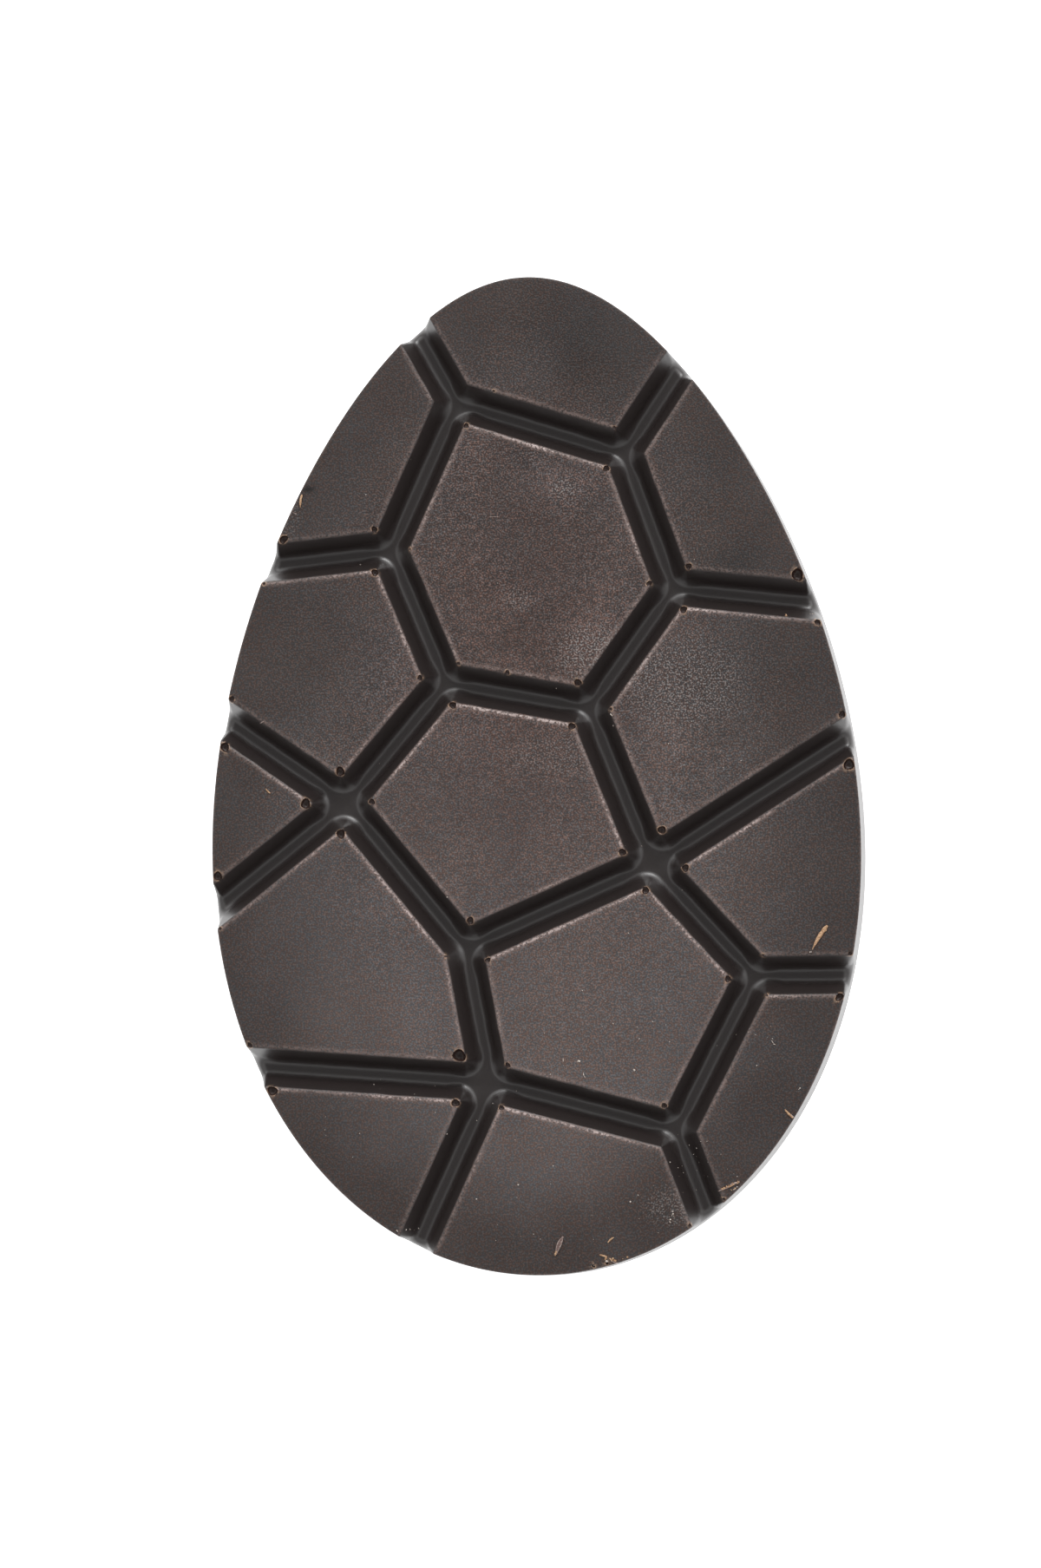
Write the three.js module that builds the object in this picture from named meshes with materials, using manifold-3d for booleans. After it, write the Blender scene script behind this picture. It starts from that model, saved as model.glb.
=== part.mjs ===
// An egg-shaped slab of moulded dark chocolate. A net of grooves, open at the rim, parts its upper face into
// fourteen flat tiles. The slab is one solid, lying on its flat back.
//
// Millimetres, +Z up. The origin is the middle of the flat back, and +Y runs to the egg's narrow end.
import * as THREE from 'three';
import { mergeVertices } from 'three/addons/utils/BufferGeometryUtils.js';
import Module from 'manifold-3d';

const wasm = await Module();
wasm.setup();
const rad = THREE.MathUtils.degToRad;

// ---- driving dimensions ----
const LENGTH = 150;                 // along Y, at the back
const WIDTH_FACTOR = 0.6451;        // half width at mid length, as a share of half the length
const EGG_TERMS = [-0.1737, -0.0438, -0.0031];   // how the egg narrows, by powers 1, 2 and 3 of Y
const THICKNESS = 8;
const SIDE_DRAFT = 5;               // degrees that the outer wall leans in, going up
const GROOVE_WIDTH = 5.6;           // between two tiles, where their walls would meet their faces
const GROOVE_DEPTH = 3.6;
const WALL_LEAN = 26;               // degrees between a groove's wall and the vertical
const EDGE_RADIUS = 0.6;            // round between a tile's face and its walls
const FOOT_RADIUS = 1.5;            // round at the foot of a groove's wall
const LIP_RADIUS = 1.6;             // round where a groove's floor turns over the rim
const CORNER_RADIUS = 0.08;         // of a tile's corner, on its face

// ---- the net of grooves, on the face ----
// The twelve places where grooves meet, from the narrow end to the wide end.
const JUNCTIONS = [
  [-10.8, 56.0], [14.3, 47.5], [-21.1, 33.8], [21.4, 27.0], [-13.0, 13.7], [8.4, 9.4],
  [-28.3, -4.0], [17.4, -14.1], [-10.6, -26.0], [32.3, -30.8], [-7.1, -46.0], [20.3, -53.4],
];
// Grooves from one junction to another.
const INNER_GROOVES = [
  [0, 1], [0, 2], [1, 3], [2, 4], [3, 5], [4, 5], [4, 6],
  [5, 7], [6, 8], [7, 8], [7, 9], [8, 10], [9, 11], [10, 11],
];
// Grooves from a junction out through the rim: the junction, and the groove's direction in degrees from +X.
const RIM_GROOVES = [
  [0, 118.4], [1, 55.5], [2, 185.0], [3, -7.3], [6, 144.6], [6, 217.9],
  [7, 31.7], [9, -0.4], [10, 175.4], [10, 244.7], [11, -70.0],
];

// ---- how finely curves are faceted ----
const OUTLINE_STEPS = 96;
const CORNER_STEPS = 4;
const RIM_STEP = rad(15);           // between a tile's points beyond the rim
const EDGE_STEPS = 2;
const EDGE_START = rad(25);         // where the faceted round of a tile's edge starts, down from its face
const FOOT_STEPS = 3;
const LIP_STEPS = 3;
const LIP_START = rad(20);          // where the faceted round starts, up from the outer wall
const OVERRUN = 6;                  // how far the tiles run past the outline, before they are cut to the egg
const FOOTING = LIP_RADIUS + 0.5;   // how far they run down into the base
const MARGIN = 1;                   // how far a solid that is cut off runs past the cut
const CLEAR = 0.02;                 // keeps a solid's own rings of vertices off the planes that cut it

// ---- how finely numbers are told apart ----
const HALVINGS = 50;                // of the angle in which a ray's crossing is looked for
const WELD = 1e-4;                  // vertices closer than this are one
const STRAIGHT_BACK = 1e-9;         // an angle below this is no turn at all

const FLOOR = THICKNESS - GROOVE_DEPTH;
const HALF_LENGTH = LENGTH / 2;
const SIDE_INSET = THICKNESS * Math.tan(rad(SIDE_DRAFT));
const EDGE_INSET = EDGE_RADIUS * Math.tan(rad(90 - WALL_LEAN) / 2);   // of a face, from its walls carried up
const FACE_INSET = GROOVE_WIDTH / 2 + EDGE_INSET;                     // of a face, from a groove's middle

// ---- the egg outline ----

/** A point of the outline at the back, moved outwards by `offset`, with its outward normal. */
function eggPoint(theta, offset = 0) {
  const t = Math.sin(theta);
  const [a, b, c] = EGG_TERMS;
  const swell = 1 + a * t + b * t * t + c * t * t * t;
  const swellRate = (a + 2 * b * t + 3 * c * t * t) * Math.cos(theta);
  const halfWidth = HALF_LENGTH * WIDTH_FACTOR;
  const point = new THREE.Vector2(halfWidth * Math.cos(theta) * swell, HALF_LENGTH * t);
  const tangent = new THREE.Vector2(
    halfWidth * (-Math.sin(theta) * swell + Math.cos(theta) * swellRate),
    HALF_LENGTH * Math.cos(theta),
  ).normalize();
  const normal = new THREE.Vector2(tangent.y, -tangent.x);
  return { point: point.addScaledVector(normal, offset), normal };
}

/** The angle at which a ray from inside the egg crosses the outline moved outwards by `offset`. */
function crossingAngle(origin, direction, offset) {
  const sideOf = (theta) => direction.cross(eggPoint(theta, offset).point.sub(origin));
  // Bisection, between a right angle on either side of the ray.
  const middle = Math.atan2(origin.y / HALF_LENGTH + direction.y, origin.x / HALF_LENGTH + direction.x);
  let low = middle - Math.PI / 2;
  let high = middle + Math.PI / 2;
  for (let i = 0; i < HALVINGS; i += 1) {
    const guess = (low + high) / 2;
    if (sideOf(guess) < 0) low = guess;
    else high = guess;
  }
  return (low + high) / 2;
}

/** The outline at the back as a contour, its first point `phase` of a step on from +X. */
function eggContour(phase) {
  const step = (2 * Math.PI) / OUTLINE_STEPS;
  return Array.from({ length: OUTLINE_STEPS }, (_, i) => eggPoint((i + phase) * step));
}

// ---- solids ----

/**
 * A solid lofted from one contour. Each level is [height, offset]: the contour moved out along its normals.
 * It is an extrusion with one step for each level, whose vertices are then moved to their level.
 */
function loft(contour, levels) {
  const geometry = new THREE.ExtrudeGeometry(new THREE.Shape(contour.map(({ point }) => point)), {
    depth: levels.length - 1,
    steps: levels.length - 1,
    bevelEnabled: false,
  });
  const position = geometry.getAttribute('position');
  for (let i = 0; i < position.count; i += 1) {
    const [x, y] = [position.getX(i), position.getY(i)];
    const [height, offset] = levels[Math.round(position.getZ(i))];
    const { normal } = nearestOf(contour, x, y);
    position.setXYZ(i, x + normal.x * offset, y + normal.y * offset, height);
  }
  return toManifold(geometry);
}

/** The contour's entry nearest to (x, y). */
function nearestOf(contour, x, y) {
  const distance = ({ point }) => Math.hypot(point.x - x, point.y - y);
  return contour.reduce((best, each) => (distance(each) < distance(best) ? each : best));
}

/** A closed three.js geometry as a Manifold solid. */
function toManifold(geometry) {
  geometry.deleteAttribute('normal');
  geometry.deleteAttribute('uv');
  const merged = mergeVertices(geometry, WELD);
  return new wasm.Manifold(new wasm.Mesh({
    numProp: 3,
    vertProperties: new Float32Array(merged.getAttribute('position').array),
    triVerts: new Uint32Array(merged.getIndex().array),
  }));
}

/** A Manifold solid as a three.js geometry. */
function toGeometry(solid) {
  const { vertProperties, triVerts, numProp } = solid.getMesh();
  const geometry = new THREE.BufferGeometry();
  const positions = new Float32Array((vertProperties.length / numProp) * 3);
  for (let i = 0; i < positions.length / 3; i += 1) {
    positions.set(vertProperties.subarray(i * numProp, i * numProp + 3), i * 3);
  }
  geometry.setAttribute('position', new THREE.BufferAttribute(positions, 3));
  geometry.setIndex(new THREE.BufferAttribute(new Uint32Array(triVerts), 1));
  geometry.computeVertexNormals();
  return geometry;
}

// ---- the tiles ----

/** The net as nodes: where each lies, its neighbours, and for a rim node its angle on the outline. */
function grooveNet() {
  const nodes = JUNCTIONS.map(([x, y]) => ({ at: new THREE.Vector2(x, y), next: [] }));
  const join = (a, b) => {
    nodes[a].next.push(b);
    nodes[b].next.push(a);
  };
  INNER_GROOVES.forEach(([a, b]) => join(a, b));
  RIM_GROOVES.forEach(([junction, degrees]) => {
    const direction = new THREE.Vector2(Math.cos(rad(degrees)), Math.sin(rad(degrees)));
    const angle = crossingAngle(nodes[junction].at, direction, 0);
    nodes.push({ at: nodes[junction].at.clone().addScaledVector(direction, LENGTH), next: [], angle });
    join(junction, nodes.length - 1);
  });
  return nodes;
}

/** Each tile as the loop of nodes round it, counter-clockwise, found by turning left at every node. */
function tileLoops(nodes) {
  const rimNodes = nodes.map((_, i) => i).filter((i) => nodes[i].angle !== undefined);
  const turn = (angle) => ((angle % (2 * Math.PI)) + 2 * Math.PI) % (2 * Math.PI);
  rimNodes.sort((a, b) => turn(nodes[a].angle) - turn(nodes[b].angle));
  const heading = (from, to) => nodes[to].at.clone().sub(nodes[from].at).angle();

  const nextNode = (from, at) => {
    if (nodes[at].angle !== undefined && nodes[from].angle === undefined) {
      return rimNodes[(rimNodes.indexOf(at) + 1) % rimNodes.length];
    }
    if (nodes[at].angle !== undefined) return nodes[at].next[0];
    const back = heading(at, from);
    const leftTurn = (to) => turn(back - heading(at, to) - STRAIGHT_BACK);
    const onward = nodes[at].next.filter((to) => to !== from);
    return onward.reduce((a, b) => (leftTurn(a) < leftTurn(b) ? a : b));
  };

  const seen = new Set();
  const loops = [];
  nodes.forEach((node, start) => node.next.forEach((second) => {
    if (seen.has(`${start}>${second}`)) return;
    const loop = [];
    let [from, at] = [start, second];
    do {
      seen.add(`${from}>${at}`);
      loop.push(from);
      [from, at] = [at, nextNode(from, at)];
    } while (from !== start || at !== second);
    loops.push(loop);
  }));
  return loops;
}

/** The tile's edge to the left of the groove from one node to another. */
function leftEdge(nodes, from, to) {
  const along = nodes[to].at.clone().sub(nodes[from].at).normalize();
  return { along, inward: new THREE.Vector2(-along.y, along.x) };
}

/** The contour of a tile's flat face. At the rim it runs OVERRUN beyond the outline. */
function tileContour(nodes, loop) {
  const isRim = (node) => nodes[node].angle !== undefined;
  return loop.flatMap((node, i) => {
    const along = (step) => loop[(i + step + loop.length) % loop.length];
    const [before, after, second] = [along(-1), along(1), along(2)];
    if (!isRim(node)) return cornerRun(nodes, before, node, after);
    return isRim(after) ? rimRun(nodes, before, node, after, second) : [];
  });
}

/** The points of a tile's corner at a junction: a small arc, with normals that fan out from edge to edge. */
function cornerRun(nodes, before, junction, after) {
  const arriving = leftEdge(nodes, before, junction);
  const leaving = leftEdge(nodes, junction, after);
  // The arc's centre lies `inset` from both grooves' centre lines.
  const inset = FACE_INSET + CORNER_RADIUS;
  const gap = leaving.inward.clone().sub(arriving.inward).multiplyScalar(inset);
  const shift = gap.cross(leaving.along) / arriving.along.cross(leaving.along);
  const centre = nodes[junction].at.clone()
    .addScaledVector(arriving.inward, inset)
    .addScaledVector(arriving.along, shift);
  const first = arriving.inward.clone().negate().angle();
  let last = leaving.inward.clone().negate().angle();
  if (last < first) last += 2 * Math.PI;
  return Array.from({ length: CORNER_STEPS + 1 }, (_, s) => {
    const angle = first + ((last - first) * s) / CORNER_STEPS;
    const normal = new THREE.Vector2(Math.cos(angle), Math.sin(angle));
    return { point: centre.clone().addScaledVector(normal, CORNER_RADIUS), normal };
  });
}

/** The points of a tile beyond the rim, from the groove that runs out there to the one that comes in. */
function rimRun(nodes, lastJunction, rimOut, rimIn, nextJunction) {
  const outbound = leftEdge(nodes, lastJunction, rimOut);
  const inbound = leftEdge(nodes, rimIn, nextJunction);
  const edgeStart = (node, { inward }) => nodes[node].at.clone().addScaledVector(inward, FACE_INSET);
  const from = crossingAngle(edgeStart(lastJunction, outbound), outbound.along, OVERRUN);
  let to = crossingAngle(edgeStart(nextJunction, inbound), inbound.along.clone().negate(), OVERRUN);
  if (to < from) to += 2 * Math.PI;
  const steps = Math.ceil((to - from) / RIM_STEP);
  const step = (to - from) / steps;
  const run = Array.from({ length: steps + 1 }, (_, s) => eggPoint(from + step * s, OVERRUN));
  // The first and the last point belong to the grooves' walls, which stay straight.
  run[0].normal = outbound.inward.clone().negate();
  run[steps].normal = inbound.inward.clone().negate();
  return run;
}

/** The levels of a tile: its round edge, the leaning wall, the round at its foot, then down into the base. */
function tileLevels() {
  const lean = rad(WALL_LEAN);
  const arc = (start, end, steps, place) => Array.from(
    { length: steps + 1 },
    (_, s) => place(start + ((end - start) * s) / steps),
  );
  const edge = arc(EDGE_START, Math.PI / 2 - lean, EDGE_STEPS, (angle) => [
    THICKNESS - EDGE_RADIUS * (1 - Math.cos(angle)),
    EDGE_RADIUS * Math.sin(angle),
  ]);
  // Above the round, a cone that leaves through the tile's face.
  const brink = edge[0][1] - (THICKNESS + CLEAR - edge[0][0]) / Math.tan(EDGE_START);
  const footStart = FLOOR + FOOT_RADIUS * (1 - Math.sin(lean));
  const footOffset = EDGE_INSET + (THICKNESS - footStart) * Math.tan(lean);
  const foot = arc(lean, Math.PI / 2, FOOT_STEPS, (angle) => [
    FLOOR + FOOT_RADIUS * (1 - Math.sin(angle)),
    footOffset + FOOT_RADIUS * (Math.cos(lean) - Math.cos(angle)),
  ]);
  const [, reach] = foot.at(-1);
  foot.at(-1)[0] -= CLEAR;
  const levels = [[THICKNESS + MARGIN, brink], [THICKNESS + CLEAR, brink], ...edge, ...foot];
  return [...levels, [FLOOR - FOOTING, reach]].reverse();
}

// ---- the slab ----

/** The whole drafted egg, before the grooves. */
function blankSlab() {
  return loft(eggContour(0), [[0, 0], [THICKNESS, -SIDE_INSET]]);
}

/** The layer under the grooves. Its upper edge is round, which shows where a groove leaves the rim. */
function baseLayer() {
  const springing = FLOOR - LIP_RADIUS;
  const lip = (angle) => [
    springing + LIP_RADIUS * Math.sin(angle),
    -springing * Math.tan(rad(SIDE_DRAFT)) - LIP_RADIUS * (1 - Math.cos(angle)),
  ];
  const step = (Math.PI / 2 - LIP_START) / LIP_STEPS;
  const levels = Array.from({ length: LIP_STEPS + 1 }, (_, s) => lip(LIP_START + step * s));
  // Below the round, a cone that leaves through the egg's wall.
  const [height, offset] = levels[0];
  const drop = height + MARGIN;
  levels.unshift([-MARGIN, offset + drop * Math.tan(LIP_START)]);
  return loft(eggContour(0.5), levels);
}

/** The fourteen tiles with their footings. */
function tiles() {
  const nodes = grooveNet();
  const levels = tileLevels();
  return tileLoops(nodes)
    .map((loop) => loft(tileContour(nodes, loop), levels))
    .reduce((all, tile) => all.add(tile));
}

const darkChocolate = new THREE.MeshStandardMaterial({ color: 0x483e3c, roughness: 0.45, metalness: 0 });

const slabSolid = blankSlab().intersect(baseLayer().add(tiles()));
const slab = new THREE.Mesh(toGeometry(slabSolid), darkChocolate);
slab.name = 'chocolate_slab';

const part = new THREE.Group();
part.add(slab);

export default part;
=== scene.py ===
"""An egg-shaped slab of moulded dark chocolate, parted by grooves, with the shavings and crumbs on it.

Shapes are worked out in millimetres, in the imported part's frame, and their meshes are made in metres.
"""

import logging
import math
from collections.abc import Callable, Iterable, Sequence
from dataclasses import dataclass, field
from enum import Enum
from functools import cached_property

import bpy
import bmesh
import numpy as np
from mathutils import Matrix, Vector
from mathutils.geometry import delaunay_2d_cdt

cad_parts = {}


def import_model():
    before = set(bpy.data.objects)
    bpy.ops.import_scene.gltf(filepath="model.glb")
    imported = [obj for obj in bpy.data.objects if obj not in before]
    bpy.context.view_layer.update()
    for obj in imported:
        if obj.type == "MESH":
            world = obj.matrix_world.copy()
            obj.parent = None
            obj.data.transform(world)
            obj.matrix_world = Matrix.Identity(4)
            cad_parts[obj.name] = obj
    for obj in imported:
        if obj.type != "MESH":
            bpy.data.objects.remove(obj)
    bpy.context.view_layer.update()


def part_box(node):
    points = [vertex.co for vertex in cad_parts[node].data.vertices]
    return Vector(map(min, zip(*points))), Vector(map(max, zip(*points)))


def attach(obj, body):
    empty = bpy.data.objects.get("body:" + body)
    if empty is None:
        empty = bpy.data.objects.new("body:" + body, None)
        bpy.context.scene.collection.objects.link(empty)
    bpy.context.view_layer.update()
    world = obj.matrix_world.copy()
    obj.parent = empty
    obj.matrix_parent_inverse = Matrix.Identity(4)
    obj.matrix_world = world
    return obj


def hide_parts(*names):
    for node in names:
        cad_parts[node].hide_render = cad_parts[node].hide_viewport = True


LOG = logging.getLogger("chocolate_slab")

MM = 0.001
FULL_TURN = 2 * math.pi
SLAB_NODE = "chocolate_slab"
BODY = "root"
# Slack for rounding errors.
SLACK = 1e-9
Socket = bpy.types.NodeSocket
# The mix node's inputs, for numbers and for colours: its share, and the two that it mixes.
MIX_NUMBER_SOCKETS = (0, 2, 3)
MIX_COLOUR_SOCKETS = (0, 6, 7)
MIX_COLOUR_OUTPUT = 2

# The places where grooves meet, in millimetres, from the narrow end to the wide end.
JUNCTIONS = (
    (-10.8, 56.0), (14.3, 47.5), (-21.1, 33.8), (21.4, 27.0), (-13.0, 13.7), (8.4, 9.4),
    (-28.3, -4.0), (17.4, -14.1), (-10.6, -26.0), (32.3, -30.8), (-7.1, -46.0), (20.3, -53.4),
)
# Grooves from one junction to another.
INNER_GROOVES = (
    (0, 1), (0, 2), (1, 3), (2, 4), (3, 5), (4, 5), (4, 6),
    (5, 7), (6, 8), (7, 8), (7, 9), (8, 10), (9, 11), (10, 11),
)
# Grooves from a junction out through the rim: the junction, and the heading in degrees from +X.
RIM_GROOVES = (
    (0, 118.4), (1, 55.5), (2, 185.0), (3, -7.3), (6, 144.6), (6, 217.9),
    (7, 31.7), (9, -0.4), (10, 175.4), (10, 244.7), (11, -70.0),
)
# Air was caught in the mould at the tiles' corners. For each junction, the bubbles' radii in its corners, in
# turn from +X. A zero is a sound corner.
JUNCTION_BUBBLES = (
    (0.0, 0.41, 0.0), (0.27, 0.47, 0.0), (0.47, 0.54, 0.20), (0.41, 0.54, 0.47),
    (0.41, 0.54, 0.27), (0.54, 0.54, 0.27), (0.68, 0.74, 0.68, 0.47), (0.60, 0.54, 0.54, 0.54),
    (0.54, 0.20, 0.41), (0.47, 0.20, 0.20), (0.94, 0.60, 0.41, 0.41), (0.41, 0.0, 0.0),
)
# The same for each rim groove: in the corner on its left and on its right, seen from its junction.
RIM_BUBBLES = (
    (0.0, 0.0), (0.0, 0.0), (0.24, 0.57), (0.81, 0.42), (0.63, 0.39), (0.24, 0.60),
    (0.46, 0.74), (0.30, 0.53), (0.66, 0.36), (0.0, 0.0), (0.24, 0.24),
)
# A few bubbles lie elsewhere along an edge: x, y and radius.
STRAY_BUBBLES = ((-3.5, 14.8, 0.36), (-4.9, 57.2, 0.19), (7.9, -73.0, 0.24), (9.9, -72.6, 0.24))
# Patches of the faces painted lighter or darker, as painted light and shade: x, y, the half sizes and the
# share.
LIGHT_AND_SHADE_PATCHES = (
    (6.0, -42.0, 24.0, 22.0, 0.25), (-10.0, 5.0, 7.0, 4.0, 0.28), (10.0, 20.0, 4.5, 6.0, 0.36),
    (5.0, 43.5, 6.0, 2.5, 0.38), (19.0, 6.0, 4.0, 13.0, 0.25), (24.0, 21.0, 5.0, 3.0, 0.30),
    (-8.0, 49.0, 3.5, 4.0, 0.33), (-33.0, 17.0, 6.0, 9.0, -0.22), (9.0, 64.0, 7.0, 8.0, -0.40),
    (30.0, 30.0, 4.0, 3.0, -0.40), (-19.0, 16.0, 3.0, 6.0, 0.25), (-42.0, -28.0, 4.0, 9.0, 0.22),
    (40.0, -38.0, 4.0, 5.0, -0.18), (28.0, 5.0, 4.0, 3.0, -0.15), (0.0, 20.0, 6.0, 6.0, -0.18),
    (2.0, -60.0, 12.0, 6.0, 0.18), (-18.0, -36.0, 4.5, 8.0, 0.22), (-22.0, -20.0, 5.0, 5.0, 0.15),
    (-33.2, 43.2, 1.0, 0.48, -0.95), (5.3, 42.1, 1.9, 1.5, 0.34), (-1.8, 25.7, 2.1, 1.9, 0.30),
)
# Where the faces carry a pale bloom: the same, with its strength.
BLOOM_PATCHES = (
    (5.3, 42.1, 2.0, 1.6, 0.9), (-1.8, 25.7, 2.2, 1.8, 0.55), (4.7, 2.2, 9.0, 3.0, 0.35),
    (22.5, 12.5, 9.0, 7.0, 0.7), (9.6, 17.5, 6.0, 4.5, 0.95), (20.0, -64.5, 5.0, 3.0, 0.5),
    (-36.0, 39.5, 2.0, 4.0, 0.3),
)

# How strongly the faces carry a painted sheen along the egg: y and the share. The sheen is lighter colour
# painted where the studio light's broad sheen falls.
PAINTED_SHEEN_ALONG = ((-70, 0.85), (-50, 0.98), (-35, 1.1), (-15, 0.95), (10, 0.6), (40, 0.32), (70, 0.15))

# ---- small helpers ----


def unit(degrees: float) -> np.ndarray:
    """The flat unit vector at an angle in degrees from +X."""
    return np.array([math.cos(math.radians(degrees)), math.sin(math.radians(degrees))])


def left_of(along: np.ndarray) -> np.ndarray:
    """The unit vector a quarter turn to the left of another."""
    return np.array([-along[1], along[0]])


def smooth_step(value: np.ndarray, low: float, high: float) -> np.ndarray:
    """Rises smoothly from 0 where value is low to 1 where it is high.

    Args:
        value: Any numbers.
        low: Where the rise starts.
        high: Where it ends. It may be below low, for a fall.

    Returns:
        The steps, from 0 to 1.
    """
    share = np.clip((value - low) / (high - low), 0.0, 1.0)
    return share * share * (3 - 2 * share)


@dataclass(frozen=True)
class Ripple:
    """A gentle unevenness over the XY plane: a few waves in seeded directions."""

    seed: int
    amplitude: float
    wavelength: float
    waves: int = 7

    def __call__(self, points: np.ndarray) -> np.ndarray:
        """The unevenness at some points.

        Args:
            points: Places in millimetres, one row each.

        Returns:
            One offset in millimetres for each place.
        """
        shortest, longest = 0.6, 1.7
        draw = np.random.default_rng(self.seed)
        headings = draw.uniform(0, FULL_TURN, self.waves)
        pitches = FULL_TURN / (self.wavelength * draw.uniform(shortest, longest, self.waves))
        phases = draw.uniform(0, FULL_TURN, self.waves)
        total = np.zeros(len(points))
        for heading, pitch, phase in zip(headings, pitches, phases):
            across = points[:, 0] * math.cos(heading) + points[:, 1] * math.sin(heading)
            total += np.sin(across * pitch + phase)
        return total * self.amplitude / math.sqrt(self.waves)


# ---- the slab's form ----


@dataclass(frozen=True)
class EggOutline:
    """The outline of the slab's flat back, narrowing towards +Y."""

    length: float
    width: float
    terms: tuple[float, float, float] = (-0.1737, -0.0438, -0.0031)

    def _swell(self, sine: np.ndarray) -> tuple[np.ndarray, np.ndarray]:
        """How the half width varies along the egg, and how fast."""
        a, b, c = self.terms
        return 1 + a * sine + b * sine**2 + c * sine**3, a + 2 * b * sine + 3 * c * sine**2

    @cached_property
    def half_width(self) -> float:
        """The half width at mid length, so that the widest place is as wide as the slab.

        Returns:
            The half width in millimetres.
        """
        fine_steps = 2000
        theta = np.linspace(-math.pi / 2, math.pi / 2, fine_steps + 1)
        widest = np.max(np.cos(theta) * self._swell(np.sin(theta))[0])
        return self.width / 2 / float(widest)

    def curve(self, theta: np.ndarray) -> tuple[np.ndarray, np.ndarray]:
        """Points of the outline, and how fast they move.

        Args:
            theta: Angles round the egg, from its right side.

        Returns:
            The points and their rates along theta, one row each.
        """
        sine, cosine = np.sin(theta), np.cos(theta)
        swell, slope = self._swell(sine)
        half = self.half_width
        points = np.stack([half * cosine * swell, self.length / 2 * sine], axis=-1)
        rates = np.stack([half * (cosine**2 * slope - sine * swell), self.length / 2 * cosine], axis=-1)
        return points, rates

    def ring(self, theta: np.ndarray, inset: float) -> np.ndarray:
        """Points of the outline moved inwards.

        Args:
            theta: Angles round the egg.
            inset: How far inwards.

        Returns:
            The points, one row each.
        """
        points, rates = self.curve(theta)
        tangents = rates / np.linalg.norm(rates, axis=-1, keepdims=True)
        outward = np.stack([tangents[:, 1], -tangents[:, 0]], axis=-1)
        return points - outward * inset

    def inset_of(self, points: np.ndarray) -> np.ndarray:
        """How far inside the outline some points lie. Far inside, the answer may be too large.

        Args:
            points: Places, one row each.

        Returns:
            Their insets, below zero outside.
        """
        theta = np.arctan2(points[:, 1] / (self.length / 2), points[:, 0] / (self.width / 2))
        nudge, steps, largest = 1e-4, 8, 0.15
        for _ in range(steps):
            place, rate = self.curve(theta)
            bend = (self.curve(theta + nudge)[1] - self.curve(theta - nudge)[1]) / (2 * nudge)
            gap = place - points
            slope = np.sum(rate * rate, axis=1) + np.sum(gap * bend, axis=1)
            theta = theta - np.clip(np.sum(gap * rate, axis=1) / np.maximum(slope, 1.0), -largest, largest)
        place, rate = self.curve(theta)
        gap = place - points
        outward = np.stack([rate[:, 1], -rate[:, 0]], axis=-1)
        return np.copysign(np.linalg.norm(gap, axis=1), np.sum(gap * outward, axis=1))


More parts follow.
